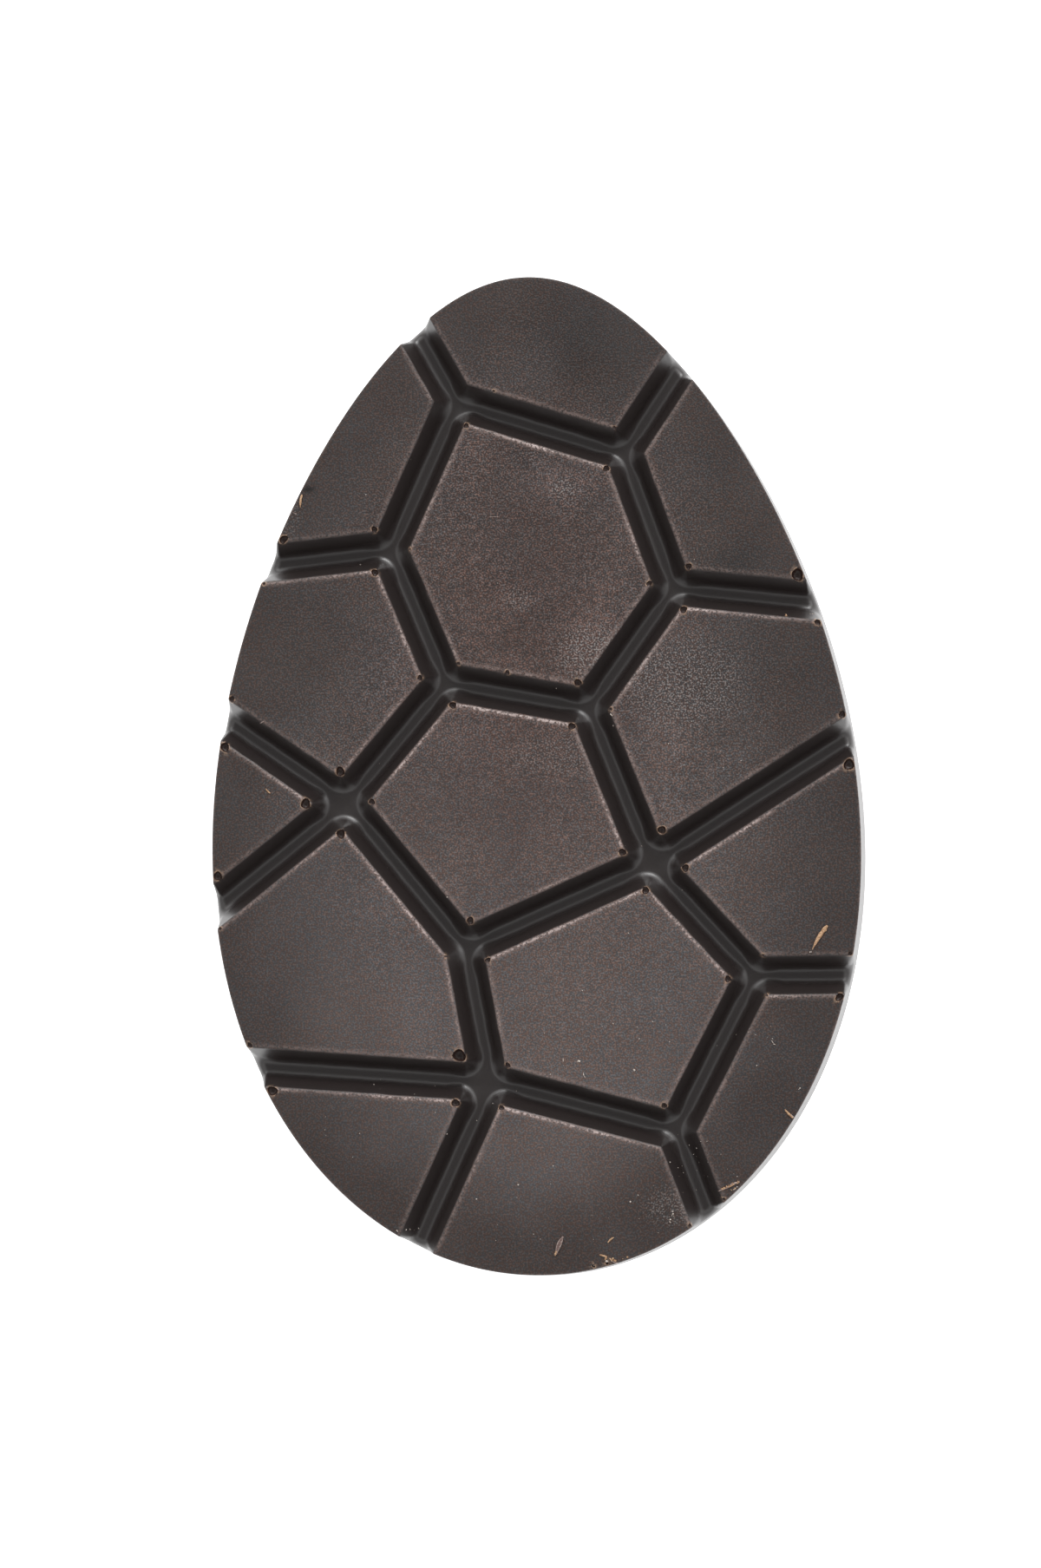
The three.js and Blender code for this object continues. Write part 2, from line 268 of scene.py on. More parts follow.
@dataclass(frozen=True)
class MouldSection:
    """The upright sections that the mould gives: across a groove, and down the rim."""

    thickness: float
    groove_width: float = 5.7
    groove_depth: float = 3.6
    wall_lean: float = math.radians(26)
    side_draft: float = math.radians(5)
    foot_radius: float = 1.5
    edge_radius: float = 0.58
    rim_radius: float = 0.15
    lip_radius: float = 1.6
    mouth_radius: float = 1.1

    @property
    def floor(self) -> float:
        """The height of a groove's floor."""
        return self.thickness - self.groove_depth

    @property
    def rim_inset(self) -> float:
        """How far inside the outline the outer wall meets the plane of the tiles' faces."""
        return self.thickness * math.tan(self.side_draft)

    @property
    def foot_run(self) -> float:
        """How far out from a tile's edge the foot of its wall runs."""
        drop = self.groove_depth - self.foot_radius * (1 - math.sin(self.wall_lean))
        return drop * math.tan(self.wall_lean) + self.foot_radius * math.cos(self.wall_lean)

    def rounded_rim(self, inset: np.ndarray, top: float, radius: float) -> np.ndarray:
        """The height of a layer whose upper edge is rounded over the outer wall.

        Args:
            inset: How far inside the outline.
            top: The height of the layer's upper face.
            radius: Of the rounding.

        Returns:
            Heights in millimetres.
        """
        slope = math.tan(self.side_draft)
        reach = top * slope + radius * math.tan((math.pi / 2 - self.side_draft) / 2)
        sine = np.clip((reach - inset) / radius, 0.0, math.cos(self.side_draft))
        arc = top - radius * (1 - np.sqrt(1 - sine * sine))
        return np.minimum(arc, np.where(sine < math.cos(self.side_draft), top, inset / slope))

    def rim_at(self, height: np.ndarray) -> np.ndarray:
        """How far in the outer wall of a tile lies at some heights.

        Args:
            height: Heights of interest.

        Returns:
            Distances in millimetres.
        """
        widest = math.pi / 2 - self.side_draft
        drop = np.clip(self.thickness - height, 0.0, self.rim_radius * (1 - math.cos(widest)))
        cosine = 1 - drop / self.rim_radius
        reach = self.rim_inset + self.rim_radius * math.tan(widest / 2)
        arc = reach - self.rim_radius * np.sqrt(1 - cosine * cosine)
        return np.where(cosine > math.cos(widest) + SLACK, arc, height * math.tan(self.side_draft))

    def wall_at(self, height: np.ndarray, floor: np.ndarray, foot: np.ndarray) -> np.ndarray:
        """How far out from a tile's edge its groove wall lies at some heights.

        Args:
            height: Heights of interest.
            floor: The floor's height there, which the foot's round meets.
            foot: The radius of that round.

        Returns:
            Distances in millimetres.
        """
        lean = self.wall_lean
        widest = math.pi / 2 - lean
        drop = self.thickness - height
        cosine = 1 - np.clip(drop / self.edge_radius, 0.0, 1 - math.cos(widest))
        edge = self.edge_radius * (np.sqrt(1 - cosine * cosine) - math.tan(widest / 2))
        spring = floor + foot * (1 - math.sin(lean))
        rise = np.clip(1 - (height - floor) / foot, math.sin(lean), 1.0)
        arc = foot * (math.cos(lean) - np.sqrt(1 - rise * rise))
        low = (self.thickness - spring) * math.tan(lean) + arc
        wall = np.where(height < spring, low, drop * math.tan(lean))
        return np.where(cosine > math.cos(widest) + SLACK, edge, wall)

    def heights(self, beyond: np.ndarray, inset: np.ndarray, foot: np.ndarray) -> np.ndarray:
        """The height of the slab's upper surface.

        Args:
            beyond: How far outside the nearest tile's edge, below zero on the tile.
            inset: How far inside the egg's outline.
            foot: The radius at the foot of the grooves' walls.

        Returns:
            Heights in millimetres.
        """
        base = self.rounded_rim(inset, self.floor, self.lip_radius)
        low, high = base.copy(), np.full_like(base, self.thickness)
        halvings = 30
        for _ in range(halvings):
            guess = (low + high) / 2
            within = self._within(guess, base, beyond, inset, foot)
            low = np.where(within, guess, low)
            high = np.where(within, high, guess)
        return low

    def _within(
        self,
        height: np.ndarray,
        base: np.ndarray,
        beyond: np.ndarray,
        inset: np.ndarray,
        foot: np.ndarray,
    ) -> np.ndarray:
        """Whether a tile holds some points. Where a groove leaves the rim, its two walls meet in a round.

        Args:
            height: The points' heights.
            base: The height of the grooves' floor there.
            beyond: How far outside the nearest tile's edge the points lie.
            inset: How far inside the egg's outline they lie.
            foot: The radius at the foot of the grooves' walls.

        Returns:
            True for each point that a tile holds.
        """
        sunk = (self.thickness - height) / self.groove_depth
        radius = self.rim_radius + (self.mouth_radius - self.rim_radius) * np.clip(sunk, 0.0, 1.0)
        from_rim = inset - self.rim_at(height)
        from_wall = self.wall_at(height, base, foot) - beyond
        short = np.hypot(np.maximum(radius - from_rim, 0.0), np.maximum(radius - from_wall, 0.0))
        return (from_rim >= 0) & (from_wall >= 0) & (short <= radius)


@dataclass(frozen=True)
class Edge:
    """One straight edge of a tile, with the tile on its left."""

    start: np.ndarray
    along: np.ndarray

    @property
    def inward(self) -> np.ndarray:
        """The direction into the tile."""
        return left_of(self.along)

    def beyond(self, points: np.ndarray) -> np.ndarray:
        """How far points lie outside the edge's line, below zero inside."""
        return -((points - self.start) @ self.inward)

    def meet(self, other: "Edge") -> np.ndarray:
        """The point where two edges' lines cross.

        Args:
            other: The other edge.

        Returns:
            The point.
        """
        gap = other.start - self.start
        cross = self.along[0] * other.along[1] - self.along[1] * other.along[0]
        return self.start + self.along * (gap[0] * other.along[1] - gap[1] * other.along[0]) / cross

    def moved(self, outward: float) -> "Edge":
        """The same edge, moved outwards."""
        return Edge(self.start - self.inward * outward, self.along)


@dataclass(frozen=True)
class Corner:
    """A tile's corner: sharp on the face, and ever rounder down its walls, as the mould's cutter left it."""

    first: Edge
    second: Edge
    face_radius: float = 0.08
    cutter_growth: float = 1.25
    least_advance: float = 0.55

    @cached_property
    def outward(self) -> np.ndarray:
        """The direction out of the tile, halfway between its two edges' own."""
        middle = -self.first.inward - self.second.inward
        return middle / np.hypot(*middle)

    @cached_property
    def half_cosine(self) -> float:
        """The cosine of half the turn from one edge to the next."""
        return float(-self.first.inward @ self.outward)

    @cached_property
    def growth(self) -> float:
        """How much the round grows for each millimetre that the walls run out."""
        reach = 1 / self.half_cosine
        return min(self.cutter_growth, (reach - self.least_advance) / (reach - 1))

    def round_at(self, offset: float) -> tuple[np.ndarray, float]:
        """The round of the corner where its walls have run out some way.

        Args:
            offset: How far out, below zero on the tile's face.

        Returns:
            Its centre and its radius.
        """
        radius = max(self.face_radius + (offset if offset < 0 else self.growth * offset), 0.0)
        outward = offset - radius
        return self.first.moved(outward).meet(self.second.moved(outward)), radius

    def beyond(self, points: np.ndarray) -> np.ndarray:
        """How far out points lie on the corner's round, as its walls' own distance from the tile's edges.

        Args:
            points: Places, one row each.

        Returns:
            Distances in millimetres.
        """
        centre, radius = self.round_at(0.0)
        away = points - centre
        growth, drift = self.growth, (1 - self.growth) / self.half_cosine
        square = growth**2 - drift**2
        slope = (away @ self.outward) * drift + radius * growth
        rest = (away**2).sum(axis=1) - radius**2
        outside = (np.sqrt(np.maximum(slope**2 + square * rest, 0.0)) - slope) / square
        return np.where(rest > 0, outside, np.hypot(*away.T) - radius)


@dataclass(frozen=True)
class Tile:
    """One tile: its straight edges, counter-clockwise. At the rim the chain of edges is open."""

    edges: tuple[Edge, ...]
    closed: bool

    def corners(self, place: int) -> tuple[Corner | None, Corner | None]:
        """The corners at which an edge starts and ends. Where the chain stops at the rim, there is none.

        Args:
            place: The edge's place in the chain.

        Returns:
            The corner at its start, and the one at its end.
        """
        before, after = None, None
        if self.closed or place > 0:
            before = Corner(self.edges[place - 1], self.edges[place])
        if self.closed or place < len(self.edges) - 1:
            after = Corner(self.edges[place], self.edges[(place + 1) % len(self.edges)])
        return before, after

    def beyond(self, points: np.ndarray) -> np.ndarray:
        """How far points lie outside the tile, with round corners, and below zero inside it.

        Args:
            points: Places, one row each.

        Returns:
            Distances in millimetres.
        """
        sides = np.stack([edge.beyond(points) for edge in self.edges])
        inside = np.max(sides, axis=0)
        nearest = np.full(len(points), np.inf)
        for place, edge in enumerate(self.edges):
            along = (points - edge.start) @ edge.along
            out = np.maximum(sides[place], 0.0)
            facing = np.ones(len(points), dtype=bool)
            for corner, turn in zip(self.corners(place), (-1, 1)):
                if corner is None:
                    continue
                centre, _ = corner.round_at(0.0)
                tangent = math.sqrt(1 / corner.half_cosine**2 - 1)
                limit = (centre - edge.start) @ edge.along + turn * (1 - corner.growth) * tangent * out
                facing &= along * turn <= limit * turn
                if turn > 0:
                    nearest = np.minimum(nearest, corner.beyond(points))
            nearest = np.where(facing, np.minimum(nearest, np.abs(sides[place])), nearest)
        return np.where(inside > 0, nearest, inside)


@dataclass
class GrooveNet:
    """The net of grooves, and the tiles that it leaves."""

    outline: EggOutline
    groove_width: float
    places: list[np.ndarray] = field(default_factory=list)
    neighbours: list[list[int]] = field(default_factory=list)

    def __post_init__(self) -> None:
        """Joins the junctions, and sends the rim grooves far out."""
        self.places = [np.array(place) for place in JUNCTIONS]
        self.neighbours = [[] for _ in JUNCTIONS]
        for first, second in INNER_GROOVES:
            self.neighbours[first].append(second)
            self.neighbours[second].append(first)
        for junction, heading in RIM_GROOVES:
            self.neighbours[junction].append(len(self.places))
            self.places.append(self.places[junction] + unit(heading) * self.outline.length)
            self.neighbours.append([junction])

    def _heading(self, start: int, end: int) -> float:
        """The angle of the groove from one node to another, from 0 to a full turn."""
        gap = self.places[end] - self.places[start]
        return math.atan2(gap[1], gap[0]) % FULL_TURN

    def headings(self, junction: int) -> list[int]:
        """A junction's neighbours, in turn from +X."""
        return sorted(self.neighbours[junction], key=lambda node: self._heading(junction, node))

    def edge(self, start: int, end: int) -> Edge:
        """The tile edge on the left of the groove from one node to another.

        Args:
            start: The node that the groove leaves.
            end: The node that it reaches.

        Returns:
            The edge.
        """
        along = self.places[end] - self.places[start]
        along = along / np.hypot(*along)
        return Edge(self.places[start] + left_of(along) * self.groove_width / 2, along)

    def corner(self, junction: int, turn: int) -> tuple[Edge, Edge]:
        """The two edges that meet in one corner of a junction.

        Args:
            junction: Which junction.
            turn: Which of its corners, in turn from +X.

        Returns:
            The edge that arrives at the corner, and the one that leaves it.
        """
        around = self.headings(junction)
        leaving, arriving = around[turn], around[(turn + 1) % len(around)]
        return self.edge(arriving, junction), self.edge(junction, leaving)

    def tiles(self) -> list[Tile]:
        """Finds the tiles, turning left at every junction.

        Returns:
            The tiles, those at the rim first.
        """
        seen: set[tuple[int, int]] = set()
        tiles = []
        rim_nodes = range(len(JUNCTIONS), len(self.places))
        starts = [(node, self.neighbours[node][0]) for node in rim_nodes]
        starts += [(a, b) for a in range(len(JUNCTIONS)) for b in self.neighbours[a] if b < len(JUNCTIONS)]
        for start, second in starts:
            if (start, second) in seen:
                continue
            edges, here, ahead = [], start, second
            while (here, ahead) not in seen:
                seen.add((here, ahead))
                edges.append(self.edge(here, ahead))
                if ahead >= len(JUNCTIONS):
                    break
                around = self.headings(ahead)
                here, ahead = ahead, around[around.index(here) - 1]
            tiles.append(Tile(tuple(edges), closed=start < len(JUNCTIONS)))
        return tiles


@dataclass(frozen=True)
class Bubble:
    """The bowl that a bubble of air left in the surface."""

    centre: np.ndarray
    radius: float
    heading: float = 0.0
    stretch: float = 1.0
    depth: float = 1.15
    lobe: float = 0.07

    def reach(self, points: np.ndarray) -> np.ndarray:
        """How far points lie from the middle, as a share of the way to the bowl's rim.

        Args:
            points: Places, one row each.

        Returns:
            Their shares, above 1 outside the bowl.
        """
        gap = points - self.centre
        cosine, sine = math.cos(self.heading), math.sin(self.heading)
        along = (gap[:, 0] * cosine + gap[:, 1] * sine) / self.stretch
        across = gap[:, 1] * cosine - gap[:, 0] * sine
        return np.hypot(along, across) / (self.radius * self._wobble(np.arctan2(across, along)))

    def _wobble(self, angle: np.ndarray) -> np.ndarray:
        """How much farther out than a circle's the rim lies at some angles."""
        twofold, threefold = np.cos(2 * angle + self.centre[0]), np.cos(3 * angle + self.centre[1])
        return 1 + self.lobe * twofold + self.lobe * threefold

    def sink(self, points: np.ndarray) -> np.ndarray:
        """How far below the tiles' faces the bowl lies, and zero outside it.

        Args:
            points: Places, one row each.

        Returns:
            Depths in millimetres.
        """
        share = self.reach(points)
        steep, brink = 2.6, 0.12
        bowl = np.clip(1 - share**steep, 0.0, 1.0) ** (1 / steep)
        return np.where(share < 1, self.radius * (brink + self.depth * bowl), 0.0)

    def ring(self, share: float, steps: int) -> np.ndarray:
        """Points round the middle of the bowl.

        Args:
            share: Of the way to the rim.
            steps: How many points.

        Returns:
            The points, one row each.
        """
        angle = np.linspace(0, FULL_TURN, steps, endpoint=False)
        radius = self.radius * self._wobble(angle) * share
        cosine, sine = math.cos(self.heading), math.sin(self.heading)
        along, across = radius * np.cos(angle) * self.stretch, radius * np.sin(angle)
        offset = np.stack([along * cosine - across * sine, along * sine + across * cosine], axis=-1)
        return self.centre + offset


class FlatNet:
    """Gathers points and lines of the XY plane, and joins them into triangles."""

    def __init__(self) -> None:
        """Starts with nothing."""
        self.points: list[np.ndarray] = []
        self.lines: list[tuple[int, int]] = []

    def _add(self, points: np.ndarray) -> int:
        """Takes in points.

        Args:
            points: The points, one row each.

        Returns:
            The first one's number.
        """
        first = len(self.points)
        self.points.extend(points)
        return first

    def scatter(self, points: np.ndarray) -> None:
        """Takes in loose points."""
        self._add(points)

    def loop(self, points: np.ndarray) -> None:
        """Takes in a closed line."""
        first, count = self._add(points), len(points)
        self.lines += [(first + k, first + (k + 1) % count) for k in range(count)]

    def run(self, points: np.ndarray) -> None:
        """Takes in an open line."""
        first = self._add(points)
        self.lines += [(first + k, first + k + 1) for k in range(len(points) - 1)]

    def triangles(self) -> tuple[np.ndarray, np.ndarray, list[list[int]]]:
        """Joins everything into triangles.

        Returns:
            The points, the triangles, and for each point the numbers of those that went into it.
        """
        weld = 2e-3
        places = [Vector((float(x), float(y))) for x, y in self.points]
        points, _, faces, origins, _, _ = delaunay_2d_cdt(places, self.lines, [], 0, weld, True)
        return np.array([tuple(p) for p in points]), np.array(faces), origins


@dataclass
class SlabForm:
    """The moulded slab: its upper surface as a height over each place, and its flat back."""

    outline: EggOutline
    section: MouldSection
    spacing: float = 0.85
    edge_step: float = 0.6
    rim_steps: int = 720
    corner_foot: float = 2.1
    corner_reach: float = 3.3
    back_spacing: float = 2.2
    back_edge: float = 0.14
    roll_width: float = 0.95
    roll_drop: float = 0.03
    net: GrooveNet = field(init=False)
    tiles: list[Tile] = field(init=False)
    bubbles: list[Bubble] = field(init=False)
    face_ripple: Ripple = Ripple(seed=3, amplitude=0.012, wavelength=11.0)
    back_ripple: Ripple = Ripple(seed=5, amplitude=0.045, wavelength=9.0)
    edge_ripple: Ripple = Ripple(seed=8, amplitude=0.018, wavelength=5.0)

    def __post_init__(self) -> None:
        """Works out the tiles and the bubbles."""
        self.net = GrooveNet(self.outline, self.section.groove_width)
        self.tiles = self.net.tiles()
        self.bubbles = self._junction_bubbles() + self._rim_bubbles()
        self.bubbles += [Bubble(np.array([x, y]), radius) for x, y, radius in STRAY_BUBBLES]

    def _junction_bubbles(self) -> list[Bubble]:
        """Finds the bubbles caught in the corners at the junctions, each just over both of its edges.

        Returns:
            The bubbles.
        """
        overlap = 0.11
        bubbles = []
        for junction, radii in enumerate(JUNCTION_BUBBLES):
            for turn, radius in enumerate(radii):
                if radius > 0:
                    first, second = (e.moved(overlap - radius) for e in self.net.corner(junction, turn))
                    bubbles.append(Bubble(first.meet(second), radius))
        return bubbles

    def _rim_bubbles(self) -> list[Bubble]:
        """Finds the bubbles caught where a groove's edge meets the rim.

        Returns:
            The bubbles, stretched along the rim.
        """
        overlap, stretch, from_rim, reach = 0.09, 1.2, 0.2, 0.75
        bubbles = []
        for groove, (left, right) in enumerate(RIM_BUBBLES):
            node = len(JUNCTIONS) + groove
            junction = RIM_GROOVES[groove][0]
            left_edge = self.net.edge(junction, node)
            right_edge = self.net.edge(node, junction)
            outward = left_edge.along
            for edge, radius in ((left_edge, left), (right_edge, right)):
                if radius > 0:
                    line = edge.moved(overlap - radius)
                    inset = self.section.rim_inset + from_rim + radius * stretch * reach
                    centre = self._cross_rim(line.start, outward, inset)
                    tangent = math.atan2(centre[0], -centre[1])
                    bubbles.append(Bubble(centre, radius, tangent, stretch))
        return bubbles

    def _cross_rim(self, start: np.ndarray, along: np.ndarray, inset: float) -> np.ndarray:
        """The farthest point of a line that lies some way inside the outline.

        Args:
            start: A point of the line.
            along: Its direction, outwards.
            inset: How far inside the outline the point lies.

        Returns:
            The point.
        """
        fine_steps = 4096
        ring = self.outline.ring(np.linspace(0, FULL_TURN, fine_steps + 1), inset)
        side, reach = (ring - start) @ left_of(along), (ring - start) @ along
        crossings = np.flatnonzero(side[:-1] * side[1:] <= 0)
        last = crossings[np.argmax(reach[crossings])]
        share = side[last] / (side[last] - side[last + 1])
        return ring[last] + share * (ring[last + 1] - ring[last])

    # -- measures of the surface --

    def beyond(self, points: np.ndarray) -> np.ndarray:
        """How far points lie outside the nearest tile, below zero on a tile."""
        nearest = np.min([tile.beyond(points) for tile in self.tiles], axis=0)
        return nearest + self.edge_ripple(points)

    def foot_radii(self, points: np.ndarray) -> np.ndarray:
        """The radius at the foot of the grooves' walls, which is larger round the tiles' corners.

        Args:
            points: Places, one row each.

        Returns:
            Radii in millimetres.
        """
        near = np.full(len(points), np.inf)
        for tile in self.tiles:
            for place in range(len(tile.edges)):
                _, corner = tile.corners(place)
                if corner is not None:
                    centre, _ = corner.round_at(0.0)
                    near = np.minimum(near, np.hypot(*(points - centre).T))
        share = smooth_step(near, self.corner_reach, self.corner_reach / 2)
        return self.section.foot_radius + (self.corner_foot - self.section.foot_radius) * share

    def heights(self, points: np.ndarray) -> np.ndarray:
        """The upper surface's height at some places.

        Args:
            points: Places, one row each.

        Returns:
            Heights in millimetres.
        """
        beyond, inset = self.beyond(points), self.outline.inset_of(points)
        height = self.section.heights(beyond, inset, self.foot_radii(points))
        top, face_band, nearby = self.section.thickness, 0.3, 2
        flat = smooth_step(height, top - face_band, top)
        to_edge = np.minimum(-beyond, inset - self.section.rim_inset)
        roll = self.roll_drop * np.clip(1 - to_edge / self.roll_width, 0.0, 1.0) ** 2
        crest = self.face_ripple.amplitude * 2
        height = height + flat * (self.face_ripple(points) - crest - roll)
        for bubble in self.bubbles:
            near = np.hypot(*(points - bubble.centre).T) < bubble.radius * nearby
            sink = bubble.sink(points[near])
            bowl = np.where(sink > 0, top - sink, np.inf)
            height[near] = np.minimum(height[near], bowl)
        return height

    def back_heights(self, points: np.ndarray) -> np.ndarray:
        """The flat back's height at some places: nowhere below zero, and rounded up at the outline.

        Args:
            points: Places, one row each.

        Returns:
            Heights in millimetres.
        """
        inset = self.outline.inset_of(points)
        lift, level_until, uneven_from = 0.03, 0.4, 3.0
        hollow = np.maximum(self.back_ripple(points) + lift, 0.0)
        hollow = hollow * smooth_step(inset, level_until, uneven_from)
        rise = np.clip(1 - inset / self.back_edge, 0.0, 1.0)
        return hollow + self.back_edge * (1 - np.sqrt(1 - rise * rise))

    @staticmethod
    def normals(points: np.ndarray, surface: Callable[[np.ndarray], np.ndarray]) -> np.ndarray:
        """The upward normals of a surface given by its height.

        Args:
            points: Places, one row each.
            surface: The height at some places.

        Returns:
            Unit normals, one row each.
        """
        step = 2e-3
        slopes = []
        for axis in (np.array([step, 0.0]), np.array([0.0, step])):
            slopes.append((surface(points + axis) - surface(points - axis)) / (2 * step))
        normals = np.stack([-slopes[0], -slopes[1], np.ones(len(points))], axis=-1)
        return normals / np.linalg.norm(normals, axis=1, keepdims=True)

    # -- the lines that the surface's triangles follow --

    def rim_insets(self) -> list[float]:
        """How far in the lines lie that run round the rim: up the wall, then over the tiles' edge.

        Returns:
            Distances in millimetres.
        """
        section = self.section
        wall_heights, arc_steps, face_lines = (1.5, 3.0, 4.4, 5.8, 7.2), 5, (0.35, 0.7)
        wall = [height * math.tan(section.side_draft) for height in wall_heights]
        widest = math.pi / 2 - section.side_draft
        reach = section.rim_inset + section.rim_radius * math.tan(widest / 2)
        turns = [widest * k / arc_steps for k in range(arc_steps, -1, -1)]
        arc = [reach - section.rim_radius * math.sin(turn) for turn in turns]
        return wall + arc + [section.rim_inset + line for line in face_lines]

    def lip_insets(self) -> list[float]:
        """How far in the lines lie that follow a groove's floor over the rim.

        Returns:
            Distances in millimetres.
        """
        section = self.section
        arc_steps, lines = 9, 8
        widest = math.pi / 2 - section.side_draft
        reach = section.floor * math.tan(section.side_draft) + section.lip_radius * math.tan(widest / 2)
        return [reach - section.lip_radius * math.sin(widest * k / arc_steps) for k in range(lines)]

    def wall_offsets(self) -> list[float]:
        """How far out from a tile's edge the lines along it lie: over the edge, down and to the foot.

        Returns:
            Distances in millimetres, below zero on the tile's face.
        """
        section = self.section
        face_lines, edge_steps, wall_steps, foot_steps = [-1.0, -0.65], 8, 4, 7
        widest = math.pi / 2 - section.wall_lean
        start = section.edge_radius * math.tan(widest / 2)
        turns = [widest * k / edge_steps for k in range(edge_steps + 1)]
        edge = [section.edge_radius * math.sin(turn) - start for turn in turns]
        foot_start = section.foot_run - section.foot_radius * math.cos(section.wall_lean)
        wall = list(np.linspace(edge[-1], foot_start, wall_steps + 1)[1:])
        foot = []
        for k in range(1, foot_steps + 1):
            angle = section.wall_lean + widest * k / foot_steps
            foot.append(foot_start + section.foot_radius * (math.cos(section.wall_lean) - math.cos(angle)))
        return face_lines + edge + wall + foot

    def _edge_line(self, tile: Tile, offset: float) -> np.ndarray:
        """The line that runs round a tile at an offset from its edge, with fans of points at its corners.

        Args:
            tile: Which tile.
            offset: How far out from its edge.

        Returns:
            The line's points, one row each.
        """
        rim_inset = 0.05
        points: list[np.ndarray] = []
        for place, edge in enumerate(tile.edges):
            here = edge.moved(offset)
            before, after = tile.corners(place)
            ends = []
            for corner, outward in ((before, -edge.along), (after, edge.along)):
                if corner is None:
                    end = self._cross_rim(here.start, outward, rim_inset)
                else:
                    end, _ = corner.round_at(offset)
                ends.append(float((end - here.start) @ here.along))
            low, high = ends
            steps = max(2, round((high - low) / self.edge_step))
            points += [here.start + here.along * s for s in np.linspace(low, high, steps + 1)]
            if after is not None:
                points += self._fan(after, offset)
        return np.array(points)

    @staticmethod
    def _fan(corner: Corner, offset: float) -> list[np.ndarray]:
        """The points of a corner's round, without its two ends.

        Args:
            corner: Which corner.
            offset: How far out its walls have run.

        Returns:
            The points, or none where the corner is sharp.
        """
        centre, radius = corner.round_at(offset)
        if radius <= 0:
            return []
        least_steps, step_length = 3, 0.35
        start = math.atan2(-corner.first.inward[1], -corner.first.inward[0])
        sweep = (math.atan2(-corner.second.inward[1], -corner.second.inward[0]) - start) % FULL_TURN
        steps = least_steps + int(radius * sweep / step_length)
        return [centre + radius * unit(math.degrees(start + sweep * k / steps)) for k in range(1, steps)]

    def _rim_angles(self) -> np.ndarray:
        """Angles that part the outline into steps of like length.

        Returns:
            One angle for each step.
        """
        finer = 8
        fine = np.linspace(0, FULL_TURN, finer * self.rim_steps + 1)
        points, _ = self.outline.curve(fine)
        travelled = np.concatenate([[0.0], np.cumsum(np.hypot(*np.diff(points, axis=0).T))])
        even = np.linspace(0, travelled[-1], self.rim_steps, endpoint=False)
        return np.interp(even, travelled, fine)

    def _grid(self, spacing: float) -> np.ndarray:
        """A slightly shaken grid of points over the egg, each row shifted by half a step.

        Args:
            spacing: The grid's step.

        Returns:
            The points, one row each.
        """
        seed, shake = 11, 0.18
        rows = np.arange(-self.outline.length / 2, self.outline.length / 2, spacing * math.sqrt(3) / 2)
        columns = np.arange(-self.outline.width / 2, self.outline.width / 2, spacing)
        shift = (np.arange(len(rows)) % 2) * spacing / 2
        x = columns[None, :] + shift[:, None]
        y = np.broadcast_to(rows[:, None], x.shape)
        points = np.stack([x.ravel(), y.ravel()], axis=-1)
        return points + np.random.default_rng(seed).uniform(-shake, shake, points.shape) * spacing

    @staticmethod
    def _keep_line(net: FlatNet, points: np.ndarray, keep: np.ndarray) -> None:
        """Adds the stretches of a closed line that are kept.

        Args:
            net: What they are added to.
            points: The line's points, one row each.
            keep: Whether each of them is kept.
        """
        if keep.all():
            net.loop(points)
            return
        first = int(np.argmin(keep))
        points, keep = np.roll(points, -first, axis=0), np.roll(keep, -first)
        starts = np.flatnonzero(keep & ~np.roll(keep, 1))
        ends = np.flatnonzero(keep & ~np.roll(keep, -1))
        for start, end in zip(starts, ends):
            if end > start:
                net.run(points[start : end + 1])

    def upper(self) -> tuple[np.ndarray, np.ndarray, np.ndarray, list[list[int]]]:
        """Builds the upper surface, from the outline up.

        Returns:
            Its points with their heights, its triangles, its normals, and where each point came from.
        """
        net = FlatNet()
        self._rim_lines(net)
        for tile in self.tiles:
            for offset in self.wall_offsets():
                line = self._edge_line(tile, offset)
                if tile.closed:
                    net.loop(line)
                else:
                    net.run(line)
        for bubble in self.bubbles:
            self._bubble_lines(net, bubble)
        self._face_points(net)
        flat, faces, origins = net.triangles()
        points = np.column_stack([flat, self.heights(flat)])
        return points, faces, self.normals(flat, self.heights), origins

    def _seam(self, angles: np.ndarray) -> np.ndarray:
        """The ring where the upper surface meets the back."""
        return self.outline.ring(angles, self.back_edge * math.tan(self.section.side_draft))

    def _rim_lines(self, net: FlatNet) -> None:
        """Adds the outline, the lines up the rim, and those over the grooves' lips.

        Args:
            net: What they are added to.
        """
        off_the_tiles = 0.2
        angles = self._rim_angles()
        net.loop(self._seam(angles))
        for inset in self.rim_insets():
            net.loop(self.outline.ring(angles, inset))
        for inset in self.lip_insets():
            ring = self.outline.ring(angles, inset)
            self._keep_line(net, ring, self.beyond(ring) > off_the_tiles)

    def _bubble_lines(self, net: FlatNet, bubble: Bubble) -> None:
        """Adds the rings of a bubble's bowl.

        Args:
            net: What they are added to.
            bubble: Which bubble.
        """
        least_steps, steps_per_mm, from_outline = 14, 36, 0.08
        rings_outside, rings_inside = (0.05, 0.14), (1.0, 0.985, 0.93, 0.8, 0.6, 0.35)
        steps = max(least_steps, int(bubble.radius * steps_per_mm))
        for share in [1 + gap / bubble.radius for gap in rings_outside] + list(rings_inside):
            ring = bubble.ring(share, steps)
            self._keep_line(net, ring, self.outline.inset_of(ring) > from_outline)
        net.scatter(bubble.centre[None])

